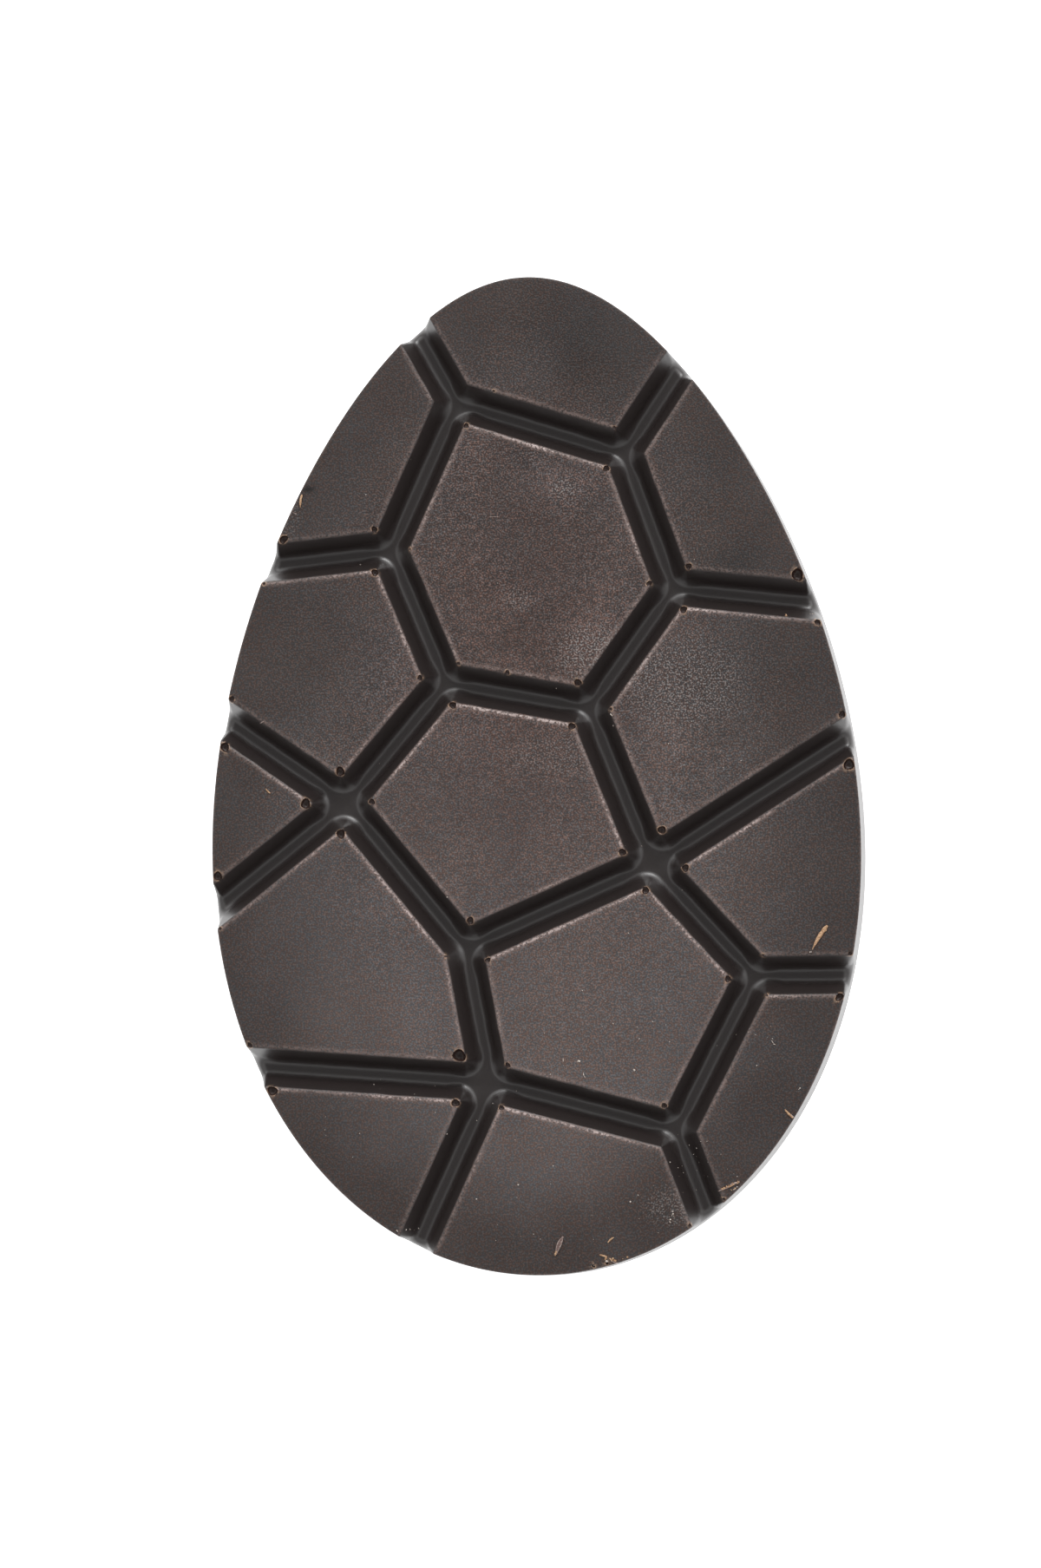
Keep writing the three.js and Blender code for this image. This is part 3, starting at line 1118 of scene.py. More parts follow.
    def _face_points(self, net: FlatNet) -> None:
        """Adds points over the tiles' faces, at the junctions, and closely over the small patches.

        Args:
            net: What they are added to.
        """
        from_edge, from_rim, from_bubble = 0.8, 1.0, 1.5
        grid = self._grid(self.spacing)
        keep = self.beyond(grid) < -from_edge
        keep &= self.outline.inset_of(grid) > self.section.rim_inset + from_rim
        for bubble in self.bubbles:
            keep &= bubble.reach(grid) > from_bubble
        net.scatter(grid[keep])
        net.scatter(np.array(JUNCTIONS))
        for patch in LIGHT_AND_SHADE_PATCHES + BLOOM_PATCHES:
            if min(patch[2:4]) < 2 * self.spacing:
                net.scatter(self._patch_points(*patch[:4]))

    @staticmethod
    def _patch_points(x: float, y: float, wide: float, high: float) -> np.ndarray:
        """Close points over a small patch, to carry its soft edge.

        Args:
            x: The patch's middle, across the egg.
            y: The patch's middle, along the egg.
            wide: Its half size across the egg.
            high: Its half size along the egg.

        Returns:
            The points, one row each.
        """
        rings, reach, golden = 8, 1.7, math.radians(137.5)
        order = np.arange(rings * rings) + 0.5
        share, angle = np.sqrt(order) / rings * reach, order * golden
        return np.stack([x + wide * share * np.cos(angle), y + high * share * np.sin(angle)], axis=-1)

    def back(self) -> tuple[np.ndarray, np.ndarray, np.ndarray, list[list[int]]]:
        """Builds the back, with the same outer ring as the upper surface.

        Returns:
            Its points with their heights, its triangles, its normals, and where each point came from.
        """
        ring_shares, from_rim = (0.3, 0.6, 1.0, 3.0), 1.2
        net = FlatNet()
        angles = self._rim_angles()
        net.loop(self._seam(angles))
        for share in ring_shares:
            net.loop(self.outline.ring(angles, self.back_edge * share))
        grid = self._grid(self.back_spacing)
        net.scatter(grid[self.outline.inset_of(grid) > from_rim])
        flat, faces, origins = net.triangles()
        normals = -self.normals(flat, self.back_heights)
        return np.column_stack([flat, self.back_heights(flat)]), faces[:, ::-1], normals, origins


# ---- materials ----


@dataclass(frozen=True)
class Pattern:
    """Noise with a grain in millimetres, held between two levels, and the values that it gives at them."""

    grain: float
    detail: float = 2.0
    roughness: float = 0.5
    low: float = 0.35
    high: float = 0.65
    least: float = 0.0
    most: float = 1.0


class NodeTree:
    """Writes the nodes of a material or of the world: each call adds one node."""

    def __init__(self, owner: bpy.types.Material | bpy.types.World) -> None:
        """Starts with no nodes.

        Args:
            owner: What the nodes belong to.
        """
        owner.use_nodes = True
        self.tree = owner.node_tree
        self.tree.nodes.clear()

    def add(self, kind: str, inputs: dict | None = None, **settings: object) -> bpy.types.Node:
        """Adds a node.

        Args:
            kind: The node's type.
            inputs: Values or sockets for its inputs, by name or number.
            settings: The node's own properties.

        Returns:
            The node.
        """
        node = self.tree.nodes.new(kind)
        for name, value in settings.items():
            setattr(node, name, value)
        for name, value in (inputs or {}).items():
            socket = node.inputs[name]
            if isinstance(value, Socket):
                self.tree.links.new(value, socket)
            else:
                socket.default_value = value
        return node

    def ramp(self, value: Socket, low: float, high: float, start: float = 0.0, end: float = 1.0) -> Socket:
        """Maps low to high onto start to end, smoothly and held beyond them.

        Args:
            value: What is mapped.
            low: Its value at the start.
            high: Its value at the end.
            start: What low becomes.
            end: What high becomes.

        Returns:
            The mapped value.
        """
        values = {"Value": value, "From Min": low, "From Max": high, "To Min": start, "To Max": end}
        return self.add("ShaderNodeMapRange", values, interpolation_type="SMOOTHSTEP").outputs["Result"]

    def math(self, operation: str, first: Socket | float, second: Socket | float) -> Socket:
        """Arithmetic on two numbers."""
        return self.add("ShaderNodeMath", {0: first, 1: second}, operation=operation).outputs[0]

    def vector_math(self, operation: str, first: Socket | tuple, second: Socket | tuple) -> Socket:
        """Arithmetic on two vectors or colours that gives a third."""
        return self.add("ShaderNodeVectorMath", {0: first, 1: second}, operation=operation).outputs[0]


class SurfaceNodes(NodeTree):
    """Writes a material's nodes."""

    def __init__(self, name: str) -> None:
        """Makes an empty material with its output.

        Args:
            name: The material's name.
        """
        self.material = bpy.data.materials.new(name)
        super().__init__(self.material)
        self.output = self.add("ShaderNodeOutputMaterial")

    def mask(self, name: str) -> Socket:
        """A mask that the mesh carries."""
        return self.add("ShaderNodeAttribute", attribute_name=name).outputs["Fac"]

    def place(self) -> Socket:
        """The place on the object, in metres."""
        return self.add("ShaderNodeTexCoord").outputs["Object"]

    def noise(self, grain: float, detail: float = 2.0, roughness: float = 0.5) -> Socket:
        """Noise whose grain has the given size in millimetres."""
        values = {"Vector": self.place(), "Scale": 1 / (grain * MM), "Detail": detail, "Roughness": roughness}
        return self.add("ShaderNodeTexNoise", values).outputs["Fac"]

    def pattern(self, pattern: Pattern) -> Socket:
        """The values of a pattern."""
        noise = self.noise(pattern.grain, pattern.detail, pattern.roughness)
        return self.ramp(noise, pattern.low, pattern.high, pattern.least, pattern.most)

    def mix(self, share: Socket | float, first: Socket | tuple, second: Socket | tuple) -> Socket:
        """A colour between two others. The node holds the share between 0 and 1."""
        values = dict(zip(MIX_COLOUR_SOCKETS, (share, first, second)))
        return self.add("ShaderNodeMix", values, data_type="RGBA").outputs[MIX_COLOUR_OUTPUT]

    def blend(self, share: Socket | float, first: Socket | float, second: Socket | float) -> Socket:
        """A number between two others."""
        values = dict(zip(MIX_NUMBER_SOCKETS, (share, first, second)))
        return self.add("ShaderNodeMix", values, data_type="FLOAT").outputs[0]

    def bump(self, height: Socket, rise: float, normal: Socket | None = None) -> Socket:
        """Raises the surface.

        Args:
            height: The pattern that is raised.
            rise: Its full height in millimetres.
            normal: The surface below it, where other bumps have raised that.

        Returns:
            The normal.
        """
        inputs = {"Height": height, "Distance": rise * MM, "Strength": 1.0}
        if normal is not None:
            inputs["Normal"] = normal
        return self.add("ShaderNodeBump", inputs).outputs["Normal"]

    def finish(self, inputs: dict) -> bpy.types.Material:
        """Ends the material in a surface shader.

        Args:
            inputs: The shader's values, by name.

        Returns:
            The material.
        """
        shader = self.add("ShaderNodeBsdfPrincipled", inputs)
        self.tree.links.new(shader.outputs[0], self.output.inputs["Surface"])
        return self.material


def shade(red: float, green: float, blue: float) -> tuple[float, float, float, float]:
    """A linear colour."""
    return red, green, blue, 1.0


WHITE = shade(1.0, 1.0, 1.0)


@dataclass(frozen=True)
class DarkChocolate:
    """Moulded dark chocolate: dull and pebbled on the tiles' faces, glossy in the grooves and down the rim.

    Grains, lengths, widths and rises are in millimetres. A pair holds the value at each end of a range.
    """

    deep: tuple = shade(0.0195, 0.0143, 0.0135)
    pebble_dark: tuple = shade(0.0165, 0.0105, 0.0092)
    pebble_light: tuple = shade(0.1060, 0.0850, 0.0800)
    # The pebbles' colours under the painted sheen: lighter, standing for the light's broad sheen on the
    # faces.
    painted_sheen_dark: tuple = shade(0.0530, 0.0410, 0.0385)
    painted_sheen_light: tuple = shade(0.1330, 0.1110, 0.1070)
    warm: tuple = shade(1.15, 0.96, 0.86)
    cool: tuple = shade(0.86, 1.035, 1.13)
    warm_patch: tuple = shade(1.025, 0.995, 0.975)
    cool_patch: tuple = shade(0.975, 1.005, 1.025)
    browner: tuple = shade(1.08, 0.89, 0.83)
    # Pale edges: a worn colour that also carries a painted highlight on edges facing the light; crest is the
    # palest of it.
    worn_and_lit: tuple = shade(0.190, 0.138, 0.124)
    crest: tuple = shade(0.42, 0.34, 0.32)
    # The bubbles' rims: a pale crumbly colour, partly a painted highlight where their raised edges catch the
    # light.
    bubble_rim_and_highlight: tuple = shade(0.36, 0.235, 0.16)
    bubble: tuple = shade(0.030, 0.0125, 0.0085)
    bloom: tuple = shade(0.235, 0.215, 0.205)

    pebble_grain: float = 0.25
    pebble_detail: float = 0.7
    pebble_levels: tuple[float, float] = (0.40, 0.72)
    pebble_rise: float = 0.09
    powder_levels: tuple[float, float] = (0.5, 0.72)
    coarser: Pattern = Pattern(14.0, low=0.38, high=0.62, least=0.75, most=1.1)
    # How the painted sheen drifts over the faces.
    painted_sheen_drift: Pattern = Pattern(13.0, least=-0.09, most=0.09)
    tint: Pattern = Pattern(0.36, detail=0.6, low=0.37, high=0.63)
    blotches: Pattern = Pattern(0.95, detail=1.5, roughness=0.8, low=0.3, high=0.7, least=0.73, most=1.27)
    cast: Pattern = Pattern(11.0, low=0.36, high=0.64)
    wear: Pattern = Pattern(0.34, low=0.36, high=0.60, least=0.1)
    wear_drift: Pattern = Pattern(7.0, least=0.65, most=1.25)
    rim_crumble: Pattern = Pattern(0.55, low=0.40, high=0.58)
    sheen_drift: Pattern = Pattern(9.0, detail=3.0)

    crest_from: float = 0.85
    bubble_share: float = 0.9
    streak_length: float = 12.0
    streak_width: float = 0.32
    streak_from: float = 0.4
    streak_full: float = 1.2
    streak_rise: float = 0.012
    swell_grain: float = 2.6
    swell_rise: float = 0.010
    face_roughness: tuple[float, float] = (0.40, 0.49)
    groove_roughness: float = 0.38
    gloss: float = 0.75
    gloss_until: float = 0.8
    gloss_roughness: float = 0.30
    refraction: float = 1.47

    def material(self) -> bpy.types.Material:
        """Writes the finish's material.

        Returns:
            The material.
        """
        nodes = SurfaceNodes("dark_chocolate")
        face = nodes.mask("face")
        pebbles = nodes.noise(self.pebble_grain, self.pebble_detail)
        coarse = nodes.math("MULTIPLY", nodes.mask("heart"), nodes.pattern(self.coarser))
        colour = self._face_colour(nodes, face, pebbles, coarse)
        colour = nodes.mix(face, self.deep, colour)
        colour = self._worn_and_lit_edges(nodes, colour)
        powder = nodes.math("MULTIPLY", nodes.mask("bloom"), face)
        powder = nodes.math("MULTIPLY", powder, nodes.ramp(pebbles, *self.powder_levels))
        colour = nodes.mix(powder, colour, self.bloom)
        colour = self._bubbles(nodes, colour)
        sheen = nodes.blend(nodes.pattern(self.sheen_drift), *self.face_roughness)
        gloss = nodes.ramp(face, 0.0, self.gloss_until, self.gloss, 0.0)
        gloss = nodes.math("MULTIPLY", nodes.mask("gloss"), gloss)
        normal = self._relief(nodes, face, pebbles, coarse)
        return nodes.finish(
            {
                "Base Color": colour,
                "Roughness": nodes.blend(face, self.groove_roughness, sheen),
                "Normal": normal,
                "IOR": self.refraction,
                "Coat Weight": gloss,
                "Coat Roughness": self.gloss_roughness,
                "Coat Normal": normal,
            }
        )

    def _face_colour(self, nodes: SurfaceNodes, face: Socket, pebbles: Socket, coarse: Socket) -> Socket:
        """The colour of the tiles' faces: dark and light pebbles, here and there lighter under a painted
        sheen, with painted light and shade in patches.

        Args:
            nodes: The material's nodes.
            face: The mask of the faces.
            pebbles: The noise that pebbles them.
            coarse: How coarse they are.

        Returns:
            The colour.
        """
        least_contrast, least_mottle, least_blotch = 0.3, 0.25, 0.12
        contrast = nodes.blend(coarse, least_contrast, 1.0)
        mottle = nodes.blend(contrast, least_mottle, nodes.ramp(pebbles, *self.pebble_levels))
        clear = nodes.mix(mottle, self.pebble_dark, self.pebble_light)
        # Painted sheen: the pebbles lightened where the light's broad sheen falls.
        sheened = nodes.mix(mottle, self.painted_sheen_dark, self.painted_sheen_light)
        drift = nodes.math("MULTIPLY", nodes.pattern(self.painted_sheen_drift), face)
        painted_sheen = nodes.math("ADD", nodes.mask("painted_sheen"), drift)
        colour = nodes.mix(painted_sheen, clear, sheened)
        blotchy = nodes.blend(nodes.math("MULTIPLY", coarse, coarse), least_blotch, 1.0)
        casts = (
            nodes.mix(nodes.pattern(self.tint), self.cool, self.warm),
            nodes.blend(blotchy, 1.0, nodes.pattern(self.blotches)),
            nodes.mix(nodes.pattern(self.cast), self.cool_patch, self.warm_patch),
            nodes.mix(nodes.mask("brown"), WHITE, self.browner),
            # Painted light and shade over patches of the faces.
            nodes.mask("painted_light_and_shade"),
        )
        for cast in casts:
            colour = nodes.vector_math("MULTIPLY", colour, cast)
        return colour

    def _worn_and_lit_edges(self, nodes: SurfaceNodes, colour: Socket) -> Socket:
        """Lays the pale, rubbed look over the tiles' edges, with a painted highlight where they face the
        light.

        Args:
            nodes: The material's nodes.
            colour: The colour below.

        Returns:
            The colour.
        """
        wear = nodes.math("MULTIPLY", nodes.mask("edge"), nodes.pattern(self.wear))
        wear = nodes.math("MULTIPLY", wear, nodes.pattern(self.wear_drift))
        crest = nodes.math("SUBTRACT", wear, self.crest_from)
        return nodes.mix(crest, nodes.mix(wear, colour, self.worn_and_lit), self.crest)

    def _bubbles(self, nodes: SurfaceNodes, colour: Socket) -> Socket:
        """Lays the bubbles' pale, crumbly rims, partly a painted highlight where their raised edges catch the
        light, and their dark bowls over the faces.

        Args:
            nodes: The material's nodes.
            colour: The colour below.

        Returns:
            The colour.
        """
        rim = nodes.math("MULTIPLY", nodes.mask("pit_rim_and_highlight"), nodes.pattern(self.rim_crumble))
        bowl = nodes.math("MULTIPLY", nodes.mask("pit"), self.bubble_share)
        return nodes.mix(bowl, nodes.mix(rim, colour, self.bubble_rim_and_highlight), self.bubble)

    def _relief(self, nodes: SurfaceNodes, face: Socket, pebbles: Socket, coarse: Socket) -> Socket:
        """Raises the pebbles on the faces, the streaks in the grooves, and a gentle swell over both.

        Args:
            nodes: The material's nodes.
            face: The mask of the faces.
            pebbles: The noise that pebbles them.
            coarse: How coarse they are.

        Returns:
            The normal.
        """
        least_depth = 0.5
        depth = nodes.math("MULTIPLY", face, nodes.blend(coarse, least_depth, 1.0))
        normal = nodes.bump(nodes.math("MULTIPLY", pebbles, depth), self.pebble_rise)
        normal = nodes.bump(self._streaks(nodes), self.streak_rise, normal)
        return nodes.bump(nodes.noise(self.swell_grain), self.swell_rise, normal)

    def _streaks(self, nodes: SurfaceNodes) -> Socket:
        """Fine streaks that run along the grooves, left by the mould.

        Args:
            nodes: The material's nodes.

        Returns:
            Their height, from 0 to 1.
        """
        across = nodes.mask("across")
        along_scale = (1 / (self.streak_length * MM),) * 3
        along = nodes.vector_math("MULTIPLY", nodes.place(), along_scale)
        reach = nodes.math("MULTIPLY", across, 1 / self.streak_width)
        shift = nodes.add("ShaderNodeCombineXYZ", {"Z": reach}).outputs[0]
        where = nodes.vector_math("ADD", along, shift)
        values = {"Vector": where, "Scale": 1.0, "Detail": 2.0, "Roughness": 0.6}
        streaks = nodes.add("ShaderNodeTexNoise", values).outputs["Fac"]
        return nodes.math("MULTIPLY", streaks, nodes.ramp(across, self.streak_from, self.streak_full))


@dataclass(frozen=True)
class ShavingFinish:
    """The rubbed, cocoa-buttery finish of thin shavings and crumbs."""

    name: str
    body: tuple
    pale: tuple
    streaks: Pattern = Pattern(0.25, detail=3.0, roughness=0.6)
    pits_grain: float = 0.125
    pits_rise: float = 0.02
    roughness: tuple[float, float] = (0.47, 0.65)
    refraction: float = 1.46

    def material(self) -> bpy.types.Material:
        """Writes the finish's material.

        Returns:
            The material.
        """
        nodes = SurfaceNodes(self.name)
        streaks = nodes.pattern(self.streaks)
        return nodes.finish(
            {
                "Base Color": nodes.mix(streaks, self.body, self.pale),
                "Roughness": nodes.ramp(streaks, 0.0, 1.0, *self.roughness),
                "Normal": nodes.bump(nodes.noise(self.pits_grain), self.pits_rise),
                "IOR": self.refraction,
            }
        )


class LooseFinish(Enum):
    """The finishes that the loose bits come in."""

    TAN = ShavingFinish("tan_shaving", shade(0.30, 0.16, 0.08), shade(0.55, 0.36, 0.22))
    PALE = ShavingFinish("pale_shaving", shade(0.22, 0.15, 0.13), shade(0.42, 0.34, 0.31))
    HUSK = ShavingFinish("husk", shade(0.115, 0.070, 0.062), shade(0.20, 0.135, 0.12))
    SPECK = ShavingFinish("speck", shade(0.35, 0.28, 0.24), shade(0.7, 0.64, 0.58))


# ---- pieces ----


def new_piece(
    name: str,
    points: np.ndarray,
    faces: np.ndarray,
    material: bpy.types.Material,
) -> bpy.types.Object:
    """Makes a mesh object from points in millimetres, and lets it ride on the slab's body.

    Args:
        name: The piece's name.
        points: Its points, one row each.
        faces: Its triangles.
        material: Its finish.

    Returns:
        The object.
    """
    mesh = bpy.data.meshes.new(name)
    mesh.from_pydata((points * MM).tolist(), [], faces.tolist())
    mesh.materials.append(material)
    mesh.shade_smooth()
    piece = bpy.data.objects.new(name, mesh)
    bpy.context.scene.collection.objects.link(piece)
    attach(piece, BODY)
    LOG.info("%s: %d points, %d triangles", name, len(points), len(faces))
    return piece


@dataclass
class SlabMasks:
    """Measures at the points of the slab's mesh that tell the finish which part of the slab it is on."""

    form: SlabForm
    points: np.ndarray
    normals: np.ndarray
    is_back: np.ndarray
    back_dullness: float = 0.8
    groove_reach: float = 3.0
    brown_patch: tuple[float, float, float, float] = (-1.0, 20.0, 20.0, 36.0)
    flat: np.ndarray = field(init=False)
    beyond: np.ndarray = field(init=False)
    inside: np.ndarray = field(init=False)
    steepness: np.ndarray = field(init=False)

    def __post_init__(self) -> None:
        """Measures how far the points lie from the tiles' edges and the rim, and how steep the surface is."""
        least_steepness = 1e-6
        self.flat = self.points[:, :2]
        self.beyond = self.form.beyond(self.flat)
        self.inside = self.form.outline.inset_of(self.flat) - self.form.section.rim_inset
        self.steepness = np.maximum(np.hypot(self.normals[:, 0], self.normals[:, 1]), least_steepness)

    def store(self, mesh: bpy.types.Mesh) -> None:
        """Stores the masks in the mesh.

        Args:
            mesh: The slab's mesh.
        """
        upper = ~self.is_back
        bowl, bowl_rim = self._bubbles()
        masks = {
            "face": np.maximum(upper * self._face(), self.is_back * self.back_dullness),
            # Wear on the tiles' edges, with a painted highlight on those that face the light.
            "edge": upper * self._worn_and_lit_edges(),
            "heart": upper * self._heart(),
            "pit": upper * bowl,
            "pit_rim_and_highlight": upper * bowl_rim,
            "bloom": upper * self._bloom(),
            # Painted sheen on the faces, strongest towards the wide end.
            "painted_sheen": upper * self._painted_sheen(),
            # Painted light and shade: the faces lightened and darkened in patches.
            "painted_light_and_shade": 1 + upper * sum(share * self._hill(*patch) for *patch, share in LIGHT_AND_SHADE_PATCHES),
            "brown": upper * self._hill(*self.brown_patch),
            "gloss": self._gloss(),
            "across": np.clip(self.beyond, 0.0, self.groove_reach),
        }
        for name, values in masks.items():
            attribute = mesh.attributes.new(name, "FLOAT", "POINT")
            attribute.data.foreach_set("value", values.astype(np.float32))

    def _away(self, x: float, y: float, wide: float, high: float) -> np.ndarray:
        """How far the points lie from the middle of a patch, in its own half sizes."""
        return np.hypot((self.flat[:, 0] - x) / wide, (self.flat[:, 1] - y) / high)

    def _hill(self, x: float, y: float, wide: float, high: float) -> np.ndarray:
        """A smooth hill of height 1 over a patch."""
        return np.exp(-(self._away(x, y, wide, high) ** 2))

    def _face(self) -> np.ndarray:
        """How much of the tiles' dull face there is: none in the grooves and down the rim.

        Returns:
            A share for each point.
        """
        over_edge, none_at, full_at = 0.12, -0.05, 0.2
        return smooth_step(np.minimum(over_edge - self.beyond, self.inside), none_at, full_at)

    def _worn_and_lit_edges(self) -> np.ndarray:
        """How pale the tiles' edges are: worn all round, with a painted highlight that is strongest where
        they face the narrow end and its light, and less near the rim.

        Returns:
            A strength for each point.
        """
        facing, sharpness = np.array([0.12, 0.97]), 1.5
        # Edges that face the narrow end, where the soft box stands, get a painted highlight.
        ahead = np.maximum(self.normals[:, :2] @ facing / self.steepness, 0.0) ** sharpness
        crest, down_width, down_narrowing, face_width, face_narrowing = -0.26, 0.26, 0.06, 0.34, 0.04
        over_brink = self.beyond > crest
        width = np.where(over_brink, down_width - down_narrowing * ahead, face_width - face_narrowing * ahead)
        strength, highlight_gain, rim_share, heart_gain = 0.9, 1.1, 0.5, 0.6
        rank = rim_share + heart_gain * smooth_step(self.inside, 5.0, 24.0)
        at_groove = np.exp(-(((self.beyond - crest) / width) ** 2)) * (strength + highlight_gain * ahead) * rank
        rim_crest, rim_width, rim_strength, edge_depth = 0.05, 0.12, 0.5, 0.5
        at_rim = np.exp(-(((self.inside - rim_crest) / rim_width) ** 2)) * rim_strength
        near_top = self.points[:, 2] > self.form.section.thickness - edge_depth
        return np.where(-self.beyond < self.inside, at_groove, at_rim) * near_top

    def _heart(self) -> np.ndarray:
        """How coarse the pebbles are: most in the middle of the slab, and least at the wide end.

        Returns:
            A share for each point.
        """
        fine_ends_at, coarse_from, finest = -4.0, 26.0, 0.25
        lengthwise = np.interp(self.flat[:, 1], (-60, 10), (finest, 1.0))
        return smooth_step(self.inside, fine_ends_at, coarse_from) * lengthwise

    def _bubbles(self) -> tuple[np.ndarray, np.ndarray]:
        """Where the bubbles' bowls and their crumbly rims are; the rims' pale colour is partly a painted
        highlight.

        Returns:
            A share of bowl and a share of rim for each point.
        """
        bowl_fade, rim_middle, rim_reach = -0.04, 0.04, 0.15
        bowl, rim = np.zeros(len(self.flat)), np.zeros(len(self.flat))
        for bubble in self.form.bubbles:
            gap = (bubble.reach(self.flat) - 1) * bubble.radius
            bowl = np.maximum(bowl, smooth_step(gap, 0.0, bowl_fade))
            rim = np.maximum(rim, np.clip(1 - np.abs(gap - rim_middle) / rim_reach, 0.0, 1.0))
        top, none_below, full_above = self.form.section.thickness, 0.8, 0.2
        return bowl, rim * smooth_step(self.points[:, 2], top - none_below, top - full_above)

    def _bloom(self) -> np.ndarray:
        """How strongly the faces carry a pale bloom.

        Returns:
            A strength for each point.
        """
        none_at, full_at = 1.25, 0.5
        strengths = []
        for *patch, strength in BLOOM_PATCHES:
            strengths.append(strength * smooth_step(self._away(*patch), none_at, full_at))
        return np.max(strengths, axis=0)

    def _painted_sheen(self) -> np.ndarray:
        """How strongly the faces carry the painted sheen: most in the middle of the wide end, and hardly at
        all near the rim.

        Returns:
            A share for each point.
        """
        shift, clear_until, full_from = np.array([2.5, 0.0]), 2.5, 22.0
        inset = self.form.outline.inset_of(self.flat + shift)
        return np.interp(self.flat[:, 1], *zip(*PAINTED_SHEEN_ALONG)) * smooth_step(inset, clear_until, full_from)

    def _gloss(self) -> np.ndarray:
        """How glossy the grooves and the rim are: most at the wide end, and less down the outer wall.

        Returns:
            A share for each point.
        """
        wide_end, narrow_end, wall_loss = 1.12, 0.85, 0.15
        outer_wall = smooth_step(self.steepness, 0.95, 0.99)
        lengthwise = np.interp(self.flat[:, 1], (-55, 55), (wide_end, narrow_end))
        return lengthwise * (1 - wall_loss * outer_wall)


@dataclass
class MouldedSlab:
    """The slab itself, as one closed mesh that carries the masks of its finish."""

    form: SlabForm
    finish: DarkChocolate = DarkChocolate()
    name: str = "moulded_slab"

    def build(self) -> bpy.types.Object:
        """Builds the slab's piece.

        Returns:
            The object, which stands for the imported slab.
        """
        upper, upper_faces, upper_normals, upper_origins = self.form.upper()
        back, back_faces, back_normals, back_origins = self.form.back()
        ring = range(self.form.rim_steps)
        number = np.arange(len(back)) + len(upper)
        number[self._places_of(back_origins, ring)] = self._places_of(upper_origins, ring)
        points, normals = np.vstack([upper, back]), np.vstack([upper_normals, back_normals])
        used, faces = np.unique(np.vstack([upper_faces, number[back_faces]]), return_inverse=True)
        points, normals = points[used], normals[used]
        piece = new_piece(self.name, points, faces.reshape(-1, 3), self.finish.material())
        piece.data.normals_split_custom_set_from_vertices(normals.tolist())
        SlabMasks(self.form, points, normals, is_back=used >= len(upper)).store(piece.data)
        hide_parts(SLAB_NODE)
        return piece

    @staticmethod
    def _places_of(origins: list[list[int]], wanted: Iterable[int]) -> list[int]:
        """Where the points that went in first have come out."""
        found = {source: place for place, sources in enumerate(origins) for source in sources}
        return [found[source] for source in wanted]


@dataclass(frozen=True)
class Shaving:
    """One thin shaving: its two ends, its sizes, how it bends, and how it tapers towards its second end."""

    start: tuple[float, float]
    end: tuple[float, float]
    width: float
    bend: float = 0.0
    thick: float = 0.12
    lift: float = 0.0
    taper: float = 0.0

    def mesh(self, seed: int, ground: float) -> tuple[np.ndarray, np.ndarray]:
        """Builds the shaving as a closed, tapered, slightly ragged blade.

        Args:
            seed: For its ragged outline.
            ground: The height that it lies on.

        Returns:
            Its points and triangles.
        """
        rings, sides = 14, 10
        ragged, uneven, end_share, bluntness, sunk = 0.14, 0.15, 0.06, 0.55, 0.42
        draw = np.random.default_rng(seed)
        share = np.linspace(0, 1, rings)
        path, angle = self._path(share)
        girth = np.sin(np.pi * (end_share + (1 - 2 * end_share) * share)) ** bluntness
        girth *= (1 + ragged * draw.standard_normal(rings)) * (1 - self.taper * share)
        height = ground + self.thick * sunk + self.lift * share**2
        round_angle = np.linspace(0, FULL_TURN, sides, endpoint=False)
        points = []
        for k in range(rings):
            across = np.array([-math.sin(angle[k]), math.cos(angle[k])])
            wide = np.cos(round_angle) * girth[k] * self.width / 2
            tall = np.sin(round_angle) * girth[k] * self.thick / 2
            tall *= 1 + uneven * draw.standard_normal(sides)
            points.append(np.column_stack([path[k] + wide[:, None] * across, height[k] + tall]))
        ends = [points[0].mean(axis=0), points[-1].mean(axis=0)]
        return np.vstack(points + ends), self._blade_faces(rings, sides)

    def _path(self, share: np.ndarray) -> tuple[np.ndarray, np.ndarray]:
        """The shaving's middle line, from its first end to its second.

        Args:
            share: How far along, from 0 to 1 in even steps.

        Returns:
            The line's points, and its heading at each.
        """
        first, last = np.array(self.start), np.array(self.end)
        gap = last - first
        angle = math.atan2(gap[1], gap[0]) + math.radians(self.bend) * (share - 0.5)
        path = np.cumsum(np.stack([np.cos(angle), np.sin(angle)], axis=-1), axis=0)
        path = (path - path[0]) * np.hypot(*gap) / np.hypot(*(path[-1] - path[0])) + first
        return path, angle

    @staticmethod
    def _blade_faces(rings: int, sides: int) -> np.ndarray:
        """The triangles of a closed blade, whose last two points are the middles of its ends.

        Args:
            rings: How many rings of points it has.
            sides: How many points a ring has.

        Returns:
            The triangles, one row each.
        """
        faces = []
        first_end, last_end = rings * sides, rings * sides + 1
        last_ring = (rings - 1) * sides
        for side in range(sides):
            after = (side + 1) % sides
            for ring in range(0, last_ring, sides):
                a, b = ring + side, ring + after
                faces += [(a, b + sides, b), (a, a + sides, b + sides)]
            faces += [(first_end, side, after), (last_end, last_ring + after, last_ring + side)]
        return np.array(faces)


